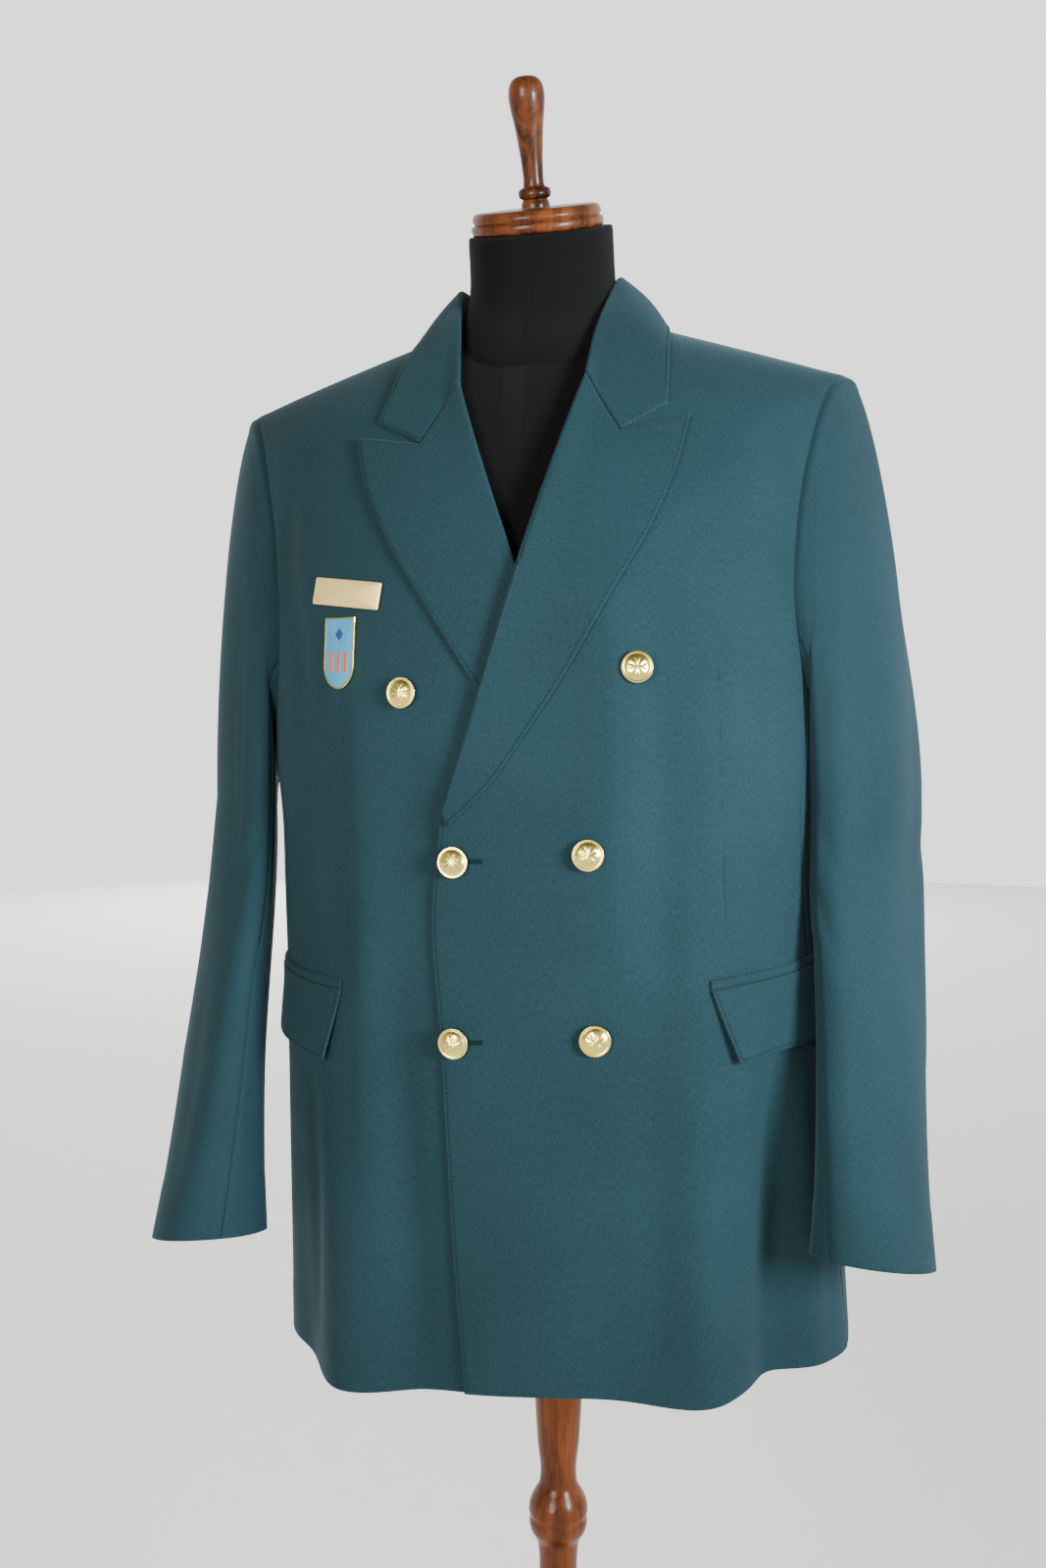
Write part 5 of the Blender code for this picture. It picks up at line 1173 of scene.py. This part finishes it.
def build_stitching(thread, fronts, lapels, collar, flaps):
    """Short stitches end to end along the edges, each narrow at both ends and sunk where it enters the
    cloth."""
    paths = []
    ahead = np.array([0.0, -1.0, 0.0])
    for name, side in SIDES.items():
        face = fronts[name]
        z = face[:, 0, 2]
        low = float((z < BREAK_Z - 0.012).sum()) / len(z)
        paths.append(line_with_normals(face, "left", outward_sign(face, ahead), 0.0, low))
        face = lapels[name]
        sign = outward_sign(face[:, ARC_POINTS + 2 :], ahead)
        paths.append(line_with_normals(face, "right", sign))
        paths.append(line_with_normals(face[:, ARC_POINTS + 2 + LAPEL_TOP_COUNTS[0] :], "top", sign))
        face = flaps[name]
        sign = outward_sign(face, np.array([side * 1.0, -1.0, 0.0]))
        paths.extend(line_with_normals(face, edge, sign, 0.04, 0.97) for edge in ("left", "right", "top"))
    fall = collar[:, STAND_POINTS + ARC_POINTS + 1 :]
    half = len(fall) // 2
    for rows, edge in ((fall[:half], "low"), (fall[half:], "top")):
        paths.append(line_with_normals(rows[:, 12:], edge, outward_sign(rows, ahead), 0.0, 0.9))
    paths.append(line_with_normals(fall, "right", outward_sign(fall[:half], ahead), 0.01, 0.99))
    laid = []
    for line, normals in paths:
        run = np.concatenate([[0], np.cumsum(np.linalg.norm(np.diff(line, axis=0), axis=1))])
        at = np.arange(STITCH_PITCH, run[-1] - STITCH_PITCH, STITCH_PITCH)
        place, ends, normal = (
            np.stack([np.interp(where, run, rows[:, k]) for k in range(3)], axis=-1)
            for where, rows in ((at, line), (at + 0.001, line), (at, normals))
        )
        normal = unit(normal)
        tangent = across_of(ends - place, normal)
        laid.append((place, tangent, np.cross(normal, tangent), normal))
    profile = (
        np.array([-0.5, -0.38, 0.0, 0.38, 0.5]) * STITCH_LONG,
        np.array([-1.2, -0.3, 0.25, -0.3, -1.2]) * STITCH_RADIUS,
        np.array([0.25, 0.85, 1.0, 0.85, 0.25]) * STITCH_RADIUS,
    )
    thread_object("top_stitching", *(np.concatenate(rows) for rows in zip(*laid)), profile, thread, False)


def build_buttonholes(thread):
    """Worked buttonholes beside the two buttons that fasten the front: a bed of short stitches across a
    slit."""
    up = np.array([[0.0, 0.0, 1.0]])
    profile = (
        np.array([-0.5, -0.3, 0.0, 0.3, 0.5]) * 0.0034,
        (-0.0003, 0.0003, -0.0001, 0.0003, -0.0003),
        np.array([0.2, 0.9, 0.75, 0.9, 0.2]) * 0.00036,
    )
    for name, x, z, side in BUTTONS:
        if name in ("button_mid_right", "button_low_right"):
            angle, level = front_chart(x - 0.004 + 0.0235 * np.linspace(0, 1, 34), z + 0.0004)
            place = front_face(1, angle, level, 0.0003)
            normal = front_face(1, angle, level, 1.0003) - place
            across = unit(np.cross(up, normal))
            hole = name.replace("button", "buttonhole")
            thread_object(hole, place, up, across, normal, profile, thread, True)


def smooth_profile(profile, count):
    """A turned profile with more points, on monotone curves through its own, so that its beads are
    round."""
    rows = np.array(profile)
    run = np.concatenate([[0], np.cumsum(np.hypot(*np.diff(rows, axis=0).T))])
    at = np.union1d(np.linspace(0, run[-1], count), run)
    return np.stack([read(run, rows[:, 0], at), read(run, rows[:, 1], at)], axis=-1)


def placed_rings(name, rings, ends, matrix, material, slot, node):
    """A piece through closed rings of points, with a fan over each end, moved by a matrix."""
    world = np.array(matrix)
    points = np.concatenate([rings.reshape(-1, 3), ends]) @ world[:3, :3].T + world[:3, 3]
    quads = facing_out(points, capped_quads(*rings.shape[:2]))
    return new_object(name, points, quads, material, slot, node)


def lathe(name, profile, steps, matrix, material, slot, node, relief=None):
    """A profile of (radius, height) turned about Z, its two ends on the axis closed to a point."""
    ring = np.linspace(0, 2 * math.pi, steps, endpoint=False)
    radius, high = profile[1:-1, :1], profile[1:-1, 1:]
    x = radius * np.cos(ring)
    z = np.broadcast_to(high, x.shape) + (relief(radius, ring[None, :]) if relief else 0.0)
    ends = [[0, 0, profile[0, 1]], [0, 0, profile[-1, 1]]]
    placed_rings(name, np.stack([x, radius * np.sin(ring), z], axis=-1), ends, matrix, material, slot, node)


def flutes(radius, ring):
    """Relief of a button's face: eight shallow petals inside a plain band, and a corded rim."""
    r = radius / BUTTON_RADIUS
    petals = 0.00022 * bell(r - 0.38, 0.20) * np.cos(8 * ring)
    return petals + 0.00010 * bell(r - 0.92, 0.05) * np.cos(44 * ring)


def build_buttons(gilt):
    shape = smooth_profile([(share * BUTTON_RADIUS, high) for share, high in BUTTON_PROFILE], 60)
    for name, x, z, side in BUTTONS:
        lathe(name + "_gilt", shape, 88, on_front(side, (x, z)), gilt, "gilt", name, flutes)


def slab(name, outline, layers, matrix, material, slot, node):
    """A flat plate from a closed outline: each layer is the outline moved in by a distance at a height,
    and the first and last are closed over."""
    along = np.roll(outline, -1, axis=0) - np.roll(outline, 1, axis=0)
    inward = unit(np.stack([-along[:, 1], along[:, 0]], axis=-1))
    if ((outline + inward * 1e-4) ** 2).sum() > (outline**2).sum():
        inward = -inward
    rows = [
        np.column_stack([outline + inward * inset, np.full(len(outline), high)])
        for inset, high in layers
    ]
    ends = [[*outline.mean(axis=0), layers[0][1]], [*outline.mean(axis=0), layers[-1][1]]]
    made = placed_rings(name, np.stack(rows), ends, matrix, material, slot, node)
    made.data.set_sharp_from_angle(angle=math.radians(35))


def rounded_box(wide, high, corner, steps=8):
    """Outline of a rectangle with round corners, counted round from the lower right one."""
    turns = np.linspace(-math.pi / 2, 0, steps)
    parts = []
    for k, (sx, sy) in enumerate(((1, -1), (1, 1), (-1, 1), (-1, -1))):
        bend = turns + k * math.pi / 2
        middle = np.array([sx * (wide / 2 - corner), sy * (high / 2 - corner)])
        parts.append(middle + corner * np.stack([np.cos(bend), np.sin(bend)], axis=-1))
    return np.concatenate(parts)


def shield_outline(wide, high):
    """A flat-topped shield: straight sides, then half an ellipse."""
    waist = -high * 0.16
    turns = np.linspace(0, math.pi, 48)
    low = np.stack([wide / 2 * np.cos(turns), waist - high * 0.34 * np.sin(turns)], axis=-1)
    left = np.stack([np.full(14, -wide / 2), np.linspace(waist, high / 2, 15)[1:]], axis=-1)
    top = np.stack([np.linspace(-wide / 2, wide / 2, 20)[1:], np.full(19, high / 2)], axis=-1)
    right = np.stack([np.full(13, wide / 2), np.linspace(high / 2, waist, 15)[1:-1]], axis=-1)
    return np.concatenate([low, left, top, right])


def build_plate_and_pin(plate, gold, field, bars, diamond):
    wide, high, thick = PLATE
    matrix = on_front(-1, PLATE_AT, (math.sin(PLATE_TURN), 0.0, math.cos(PLATE_TURN)))
    layers = ((0.0, 0.0), (0.0, thick - 0.0004), (0.00015, thick - 0.0001), (0.0004, thick))
    slab("bare_name_plate", rounded_box(wide, high, 0.0012), layers, matrix, plate, "plate", "name_plate")
    wide, high, thick = PIN_SIZE
    matrix = on_front(-1, PIN_AT)
    outline = shield_outline(wide, high)
    rim = ((0.0, 0.0), (0.0, thick - 0.0004), (0.0003, thick), (0.0010, thick), (0.0012, thick - 0.0006))
    enamel = ((0.0012, thick - 0.0009), (0.0012, thick - 0.0003), (0.0016, thick - 0.00015))
    inlay = ((0.0, thick - 0.0005), (0.0, thick - 0.00004), (0.0001, thick))
    parts = [("pin_rim", outline, rim, (0.0, 0.0), gold), ("pin_field", outline, enamel, (0.0, 0.0), field)]
    for k, x in enumerate(PIN_BAR_X):
        box = rounded_box(0.0026, 0.0150, 0.0006, 4)
        parts.append((f"pin_bar_{k + 1}", box - box.mean(axis=0), inlay, (x, -0.0062), bars))
    corner = np.linspace(0, 2 * math.pi, 5)[:4]
    square = np.stack([0.0036 * np.cos(corner), 0.0046 * np.sin(corner)], axis=-1)
    square = polyline(tuple(map(tuple, [*square, square[0]])), (6, 6, 6, 6))[:-1]
    parts.append(("pin_diamond", square, inlay, (0.0, 0.0130), diamond))
    for name, shape, rows, (x, z), material in parts:
        slab(name, shape, rows, matrix @ Matrix.Translation((x, z, 0.0)), material, "enamel", "shield_pin")


def form_surface(angle, level):
    """The form under the jacket: the same surface, smaller all round and just under the cloth at the
    shoulders."""
    place = body(angle, level, narrow=0.017, ease_in=0.012, sink=FORM_INSET)
    place[..., 2] -= NECK_INSET * np.exp(-((place[..., 0] / 0.11) ** 4)) * (level > 1.5)
    return place


def covered(name, rings, material, join_top=False):
    """A closed cover through rings of points, with fans over its ends; or its last ring's front half sewn
    to the back half. Its UV map runs round and up in metres."""
    rows, columns = rings.shape[:2]
    points = np.concatenate([rings.reshape(-1, 3), [rings[0].mean(axis=0)], [rings[-1].mean(axis=0)]])
    quads = capped_quads(rows, columns)
    if join_top:
        here = np.arange(columns)
        partner = np.arange(rows * columns + 2)
        partner[-2 - columns : -2] = (rows - 1) * columns + np.minimum(here, (columns // 2 - here) % columns)
        quads = partner[quads[:-columns]]
        points = points[:-1]
    made = new_object(name, leant(points), facing_out(points, quads), material, "jersey", "form_body")
    made.data.validate()
    flat = np.stack([arc_along(rings, 1), arc_along(rings, 0)], axis=-1).reshape(-1, 2)
    weave_map(made.data, np.concatenate([flat, np.zeros((len(made.data.vertices) - len(flat), 2))]))


def build_form(jersey):
    """Torso and neck of the dress form under one black cover; the neck flares into the shoulders."""
    low = np.linspace(level_at(FORM_BOTTOM_Z), 1, 40, endpoint=False)
    levels = np.concatenate([low, np.linspace(1, 2, 50)])
    torso = form_surface(np.linspace(0, 2 * math.pi, 144, endpoint=False)[None, :], levels[:, None])
    torso[0] = torso[0].mean(axis=0) + (torso[0] - torso[0].mean(axis=0)) * 0.985
    covered("form_cover", torso, jersey, join_top=True)
    turns = np.linspace(0, 2 * math.pi, 96, endpoint=False)
    share = np.linspace(0, 1, 40)[:, None]
    radius = NECK_RADIUS + NECK_FLARE * (1 - ease(share, 0.0, 0.75))
    radius = radius + THROAT * np.clip(np.cos(turns), 0, 1) ** 0.7 * (1 - ease(share, 0.0, 1.0)) ** 2
    radius = radius - np.maximum(share - 0.97, 0) * 0.02
    tilt = NECK_TILT * share
    centre = np.array([NECK_TOP[0], *NECK_FOOT]) * (1 - share) + np.array(NECK_TOP) * share
    x = radius * np.sin(turns)
    y = -radius * np.cos(turns)
    neck = [centre[:, :1] + x, centre[:, 1:2] + y * np.cos(tilt), centre[:, 2:3] + y * np.sin(tilt)]
    covered("form_neck_cover", np.stack(neck, axis=-1), jersey)


def build_wood(wood, neck_wood):
    middle = np.array(NECK_TOP) + np.array([CAP_SHIFT, 0.0, 0.0])
    top = leant(middle)
    axis = leant(middle + np.array([0.0, -math.sin(NECK_TILT), math.cos(NECK_TILT)])) - top
    back = (0.0, 1.0, 0.0)
    cap = frame_at(top + axis * SEAM, axis, back)
    over = frame_at(top + axis * (2 * SEAM + CAP_PROFILE[0][1]), axis, back)
    upright = Matrix.Identity(4)
    rows = (
        ("neck_cap", CAP_PROFILE, 90, 120, cap, neck_wood, "neck_wood"),
        ("finial", FINIAL_PROFILE, 110, 72, over, neck_wood, "neck_wood"),
        ("pole", POLE_PROFILE, 220, 72, upright, wood, "pole_wood"),
        ("base", BASE_PROFILE, 90, 160, upright, wood, "pole_wood"),
    )
    for node, profile, count, steps, matrix, material, slot in rows:
        lathe("turned_" + node, smooth_profile(profile, count), steps, matrix, material, slot, node)


def new_material(name, **sockets):
    """A material, its nodes and its shader, whose constant sockets are set by their names."""
    made = bpy.data.materials.new(name)
    made.use_nodes = True
    shader = made.node_tree.nodes["Principled BSDF"]
    for socket, value in sockets.items():
        shader.inputs[socket.replace("_", " ")].default_value = value
    return made, made.node_tree, shader


def shader_node(tree, kind, inputs=None, **settings):
    """A shader node with its settings, and its inputs set to a value or linked to another node's output."""
    made = tree.nodes.new("ShaderNode" + kind)
    for key, value in settings.items():
        setattr(made, key, value)
    for key, value in (inputs or {}).items():
        if isinstance(value, bpy.types.NodeSocket):
            tree.links.new(value, made.inputs[key])
        else:
            made.inputs[key].default_value = value
    return made


def calculate(tree, operation, a, b):
    return shader_node(tree, "Math", {0: a, 1: b}, operation=operation).outputs[0]


def blend(tree, a, share_a, b, share_b):
    """Weighted sum of two values."""
    left, right = (calculate(tree, "MULTIPLY", value, share) for value, share in ((a, share_a), (b, share_b)))
    return calculate(tree, "ADD", left, right)


def noise(tree, place, scale, detail, **more):
    inputs = {"Vector": place, "Scale": scale, "Detail": detail}
    inputs.update((key.capitalize(), value) for key, value in more.items())
    return shader_node(tree, "TexNoise", inputs).outputs["Fac"]


def colour_ramp(tree, factor, *stops):
    made = shader_node(tree, "ValToRGB", {"Fac": factor})
    for element, (position, colour) in zip(made.color_ramp.elements, stops):
        element.position = position
        element.color = (*colour, 1.0)
    return made.outputs["Color"]


def emboss(tree, shader, height, distance, strength):
    bump = shader_node(tree, "Bump", {"Height": height, "Distance": distance, "Strength": strength})
    tree.links.new(bump.outputs["Normal"], shader.inputs["Normal"])


def weave_group():
    """Node group: a fine diagonal twill and its fuzz, from the weave map in metres."""
    group = bpy.data.node_groups.new("twill_weave", "ShaderNodeTree")
    group.interface.new_socket("Height", in_out="OUTPUT", socket_type="NodeSocketFloat")
    group.interface.new_socket("Tone", in_out="OUTPUT", socket_type="NodeSocketFloat")
    out = group.nodes.new("NodeGroupOutput")
    flat = shader_node(group, "UVMap", uv_map="weave").outputs[0]
    turn = (0.0, 0.0, math.radians(28))
    turned = shader_node(group, "Mapping", {"Vector": flat, "Rotation": turn}).outputs[0]
    bands = {"Vector": turned, "Scale": 250.0, "Distortion": 0.6, "Detail": 2.0, "Detail Scale": 3.0}
    wave = shader_node(group, "TexWave", bands, wave_type="BANDS", bands_direction="X").outputs["Fac"]
    fuzz = noise(group, flat, 1300.0, 3.0, roughness=0.65)
    slub = shader_node(group, "Mapping", {"Vector": flat, "Scale": (900.0, 260.0, 1.0)}).outputs[0]
    yarn = noise(group, slub, 1.0, 2.0)
    high = blend(group, wave, 0.6, fuzz, 0.5)
    group.links.new(high, out.inputs["Height"])
    group.links.new(blend(group, yarn, 0.5, high, 0.5), out.inputs["Tone"])
    return group


def cloth_material(weave):
    made, tree, shader = new_material(
        "wool_twill",
        Roughness=0.80,
        Specular_IOR_Level=0.10,
        Sheen_Weight=0.10,
        Sheen_Roughness=0.45,
        Sheen_Tint=(0.50, 0.80, 0.90, 1.0),
    )
    twill = tree.nodes.new("ShaderNodeGroup")
    twill.node_tree = weave
    cloud = noise(tree, shader_node(tree, "TexCoord").outputs["Object"], 7.0, 3.0, roughness=0.5)
    cloud = calculate(tree, "MULTIPLY", calculate(tree, "SUBTRACT", cloud, 0.5), 0.35)
    tone = calculate(tree, "ADD", twill.outputs["Tone"], cloud)
    colour = colour_ramp(tree, tone, (0.25, (0.0036, 0.0136, 0.0176)), (0.85, (0.0128, 0.0412, 0.0522)))
    # Painted shade: along the top-stitching and the darts, where the same mask sinks the bump into a groove,
    # the cloth's colour is darkened towards near black to stand in for the shade in that groove.
    sewn = shader_node(tree, "Attribute", attribute_name="sewn").outputs["Fac"]
    fall = {"Value": sewn, "From Min": 0.0, "From Max": 0.0011, "To Min": 1.0, "To Max": 0.0}
    groove = shader_node(tree, "MapRange", fall, clamp=True).outputs["Result"]
    share = calculate(tree, "MULTIPLY", groove, 0.45)
    painted_shade_mix = {"Factor": share, "A": colour, "B": (0.003, 0.011, 0.013, 1.0)}
    dark = shader_node(tree, "Mix", painted_shade_mix, data_type="RGBA")
    tree.links.new(dark.outputs["Result"], shader.inputs["Base Color"])
    high = calculate(tree, "MULTIPLY", twill.outputs["Height"], 0.14)
    high = calculate(tree, "SUBTRACT", high, calculate(tree, "MULTIPLY", groove, 0.5))
    emboss(tree, shader, high, 0.0006, 0.8)
    return made


def plain_material(name, colour, roughness, metallic=0.0, coat=0.0, grain=0.0, scale=400.0, **sockets):
    """A surface of one colour, whose roughness and relief vary a little with a fine noise."""
    fixed = {"Base_Color": (*colour, 1.0), "Metallic": metallic, "Coat_Weight": coat, "Coat_Roughness": 0.06}
    made, tree, shader = new_material(name, **fixed, **sockets)
    fine = noise(tree, shader_node(tree, "TexCoord").outputs["Object"], scale, 4.0)
    span = {"Value": fine, "To Min": roughness * 0.75, "To Max": roughness * 1.25}
    tree.links.new(shader_node(tree, "MapRange", span).outputs["Result"], shader.inputs["Roughness"])
    if grain:
        emboss(tree, shader, fine, grain, 0.6)
    return made


def jersey_material():
    sheen = {"Sheen_Weight": 0.04, "Sheen_Roughness": 0.5}
    made, tree, shader = new_material("black_jersey", Roughness=0.92, Specular_IOR_Level=0.08, **sheen)
    flat = shader_node(tree, "UVMap", uv_map="weave").outputs[0]
    bands = {"Vector": flat, "Scale": 260.0, "Distortion": 1.0, "Detail": 1.0}
    wave = shader_node(tree, "TexWave", bands, bands_direction="X").outputs["Fac"]
    fuzz = noise(tree, flat, 900.0, 3.0)
    colour = colour_ramp(tree, fuzz, (0.0, (0.0016, 0.0016, 0.0017)), (1.0, (0.0042, 0.0042, 0.0045)))
    tree.links.new(colour, shader.inputs["Base Color"])
    emboss(tree, shader, blend(tree, wave, 0.5, fuzz, 1.0), 0.0003, 0.5)
    return made


def wood_material(name, dark, light, stretch):
    """Varnished wood with its grain drawn out along the turning."""
    coat = {"Coat_Weight": 0.16, "Coat_Roughness": 0.07}
    made, tree, shader = new_material(name, Roughness=0.36, Specular_IOR_Level=0.12, **coat)
    place = shader_node(tree, "TexCoord").outputs["Object"]
    drawn = shader_node(tree, "Mapping", {"Vector": place, "Scale": stretch}).outputs[0]
    grain = noise(tree, drawn, 1.0, 5.0, roughness=0.6, distortion=0.5)
    fine = noise(tree, drawn, 6.0, 4.0, roughness=0.7)
    colour = colour_ramp(tree, blend(tree, grain, 0.75, fine, 0.25), (0.38, dark), (0.64, light))
    tree.links.new(colour, shader.inputs["Base Color"])
    emboss(tree, shader, fine, 0.0002, 0.3)
    return made


def smooth_range(tree, value, low, high, at_low, at_high):
    """A value that goes smoothly from one level to another between two bounds."""
    span = {"Value": value, "From Min": low, "From Max": high, "To Min": at_low, "To Max": at_high}
    return shader_node(tree, "MapRange", span, interpolation_type="SMOOTHSTEP").outputs["Result"]


def build_stage():
    """A pale floor, soft lights, pale surroundings and the camera at the photograph's viewing angle."""
    ring = np.linspace(0, 2 * math.pi, 96, endpoint=False)
    rim = np.stack([9 * np.cos(ring), 9 * np.sin(ring), 0 * ring - 0.0005], axis=-1)
    here = np.arange(96)
    quads = np.stack([here, (here + 1) % 96, np.full(96, 96), np.full(96, 96)], axis=-1)
    glow = {"Emission_Color": (1.0, 0.99, 0.98, 1.0), "Emission_Strength": 0.42}
    pale = plain_material("pale_floor", (0.93, 0.925, 0.915), 0.9, scale=20.0, **glow)
    new_object("floor", np.concatenate([rim, [[0, 0, -0.0005]]]), quads, pale, smooth=False)
    world = bpy.data.worlds.new("surroundings")
    world.use_nodes = True
    tree = world.node_tree
    place = shader_node(tree, "TexCoord").outputs["Generated"]
    way = shader_node(tree, "SeparateXYZ", {"Vector": place}).outputs
    level = smooth_range(tree, way["Y"], -0.25, 0.70, WORLD_FRONT, WORLD_BACK)
    above = smooth_range(tree, way["Z"], 0.42, 0.85, 1.0, WORLD_ZENITH)
    sky = tree.nodes["Background"]
    sky.inputs["Color"].default_value = (1.0, 0.995, 0.985, 1.0)
    tree.links.new(calculate(tree, "MULTIPLY", level, above), sky.inputs["Strength"])
    bpy.context.scene.world = world
    for name, place, size, power, spread, colour in LIGHTS:
        data = bpy.data.lights.new(name, "AREA")
        data.shape = "DISK"
        data.size = size
        data.energy = power
        data.spread = math.radians(spread)
        data.color = colour
        lamp = bpy.data.objects.new(name, data)
        lamp.location = place
        lamp.rotation_euler = (Vector(LIGHTS_AIM) - Vector(place)).to_track_quat("-Z", "Y").to_euler()
        bpy.context.scene.collection.objects.link(lamp)
    data = bpy.data.cameras.new("camera")
    data.sensor_width = 36.0
    data.lens = CAMERA_LENS
    camera = bpy.data.objects.new("camera", data)
    camera.location = CAMERA_AT
    camera.rotation_euler = tuple(map(math.radians, CAMERA_TURN))
    bpy.context.scene.collection.objects.link(camera)
    bpy.context.scene.camera = camera


def on_both_sides(build, cloth):
    return {name: build(name, side, cloth) for name, side in SIDES.items()}


def main():
    cloth = cloth_material(weave_group())
    thread = plain_material("sewing_thread", (0.005, 0.018, 0.022), 0.8, scale=900.0, Specular_IOR_Level=0.1)
    jersey = jersey_material()
    gilt = plain_material("gilt_metal", (1.0, 0.80, 0.20), 0.22, 1.0, grain=0.00003, scale=900.0)
    plate = plain_material("plate_metal", (0.95, 0.71, 0.27), 0.38, 0.60, grain=0.00003, scale=700.0)
    field = plain_material("light_blue_enamel", (0.040, 0.24, 0.42), 0.25, 0.0, 0.5)
    bars = plain_material("orange_enamel", (0.50, 0.10, 0.004), 0.3, 0.0, 0.4)
    diamond = plain_material("dark_blue_enamel", (0.01, 0.03, 0.16), 0.3, 0.0, 0.6)
    wood = wood_material("pole_varnish", (0.034, 0.0075, 0.0016), (0.165, 0.043, 0.009), (60, 60, 5))
    neck_wood = wood_material("neck_varnish", (0.014, 0.0032, 0.001), (0.15, 0.042, 0.011), (70, 70, 9))
    build_form(jersey)
    build_wood(wood, neck_wood)
    fronts = on_both_sides(build_front, cloth)
    on_both_sides(build_side, cloth)
    on_both_sides(build_back, cloth)
    build_sleeves(cloth)
    lapels = on_both_sides(build_lapel, cloth)
    collar = build_collar(cloth)
    flaps = on_both_sides(build_pocket, cloth)
    build_stitching(thread, fronts, lapels, collar, flaps)
    build_buttonholes(thread)
    build_buttons(gilt)
    build_plate_and_pin(plate, gilt, field, bars, diamond)
    build_stage()


main()
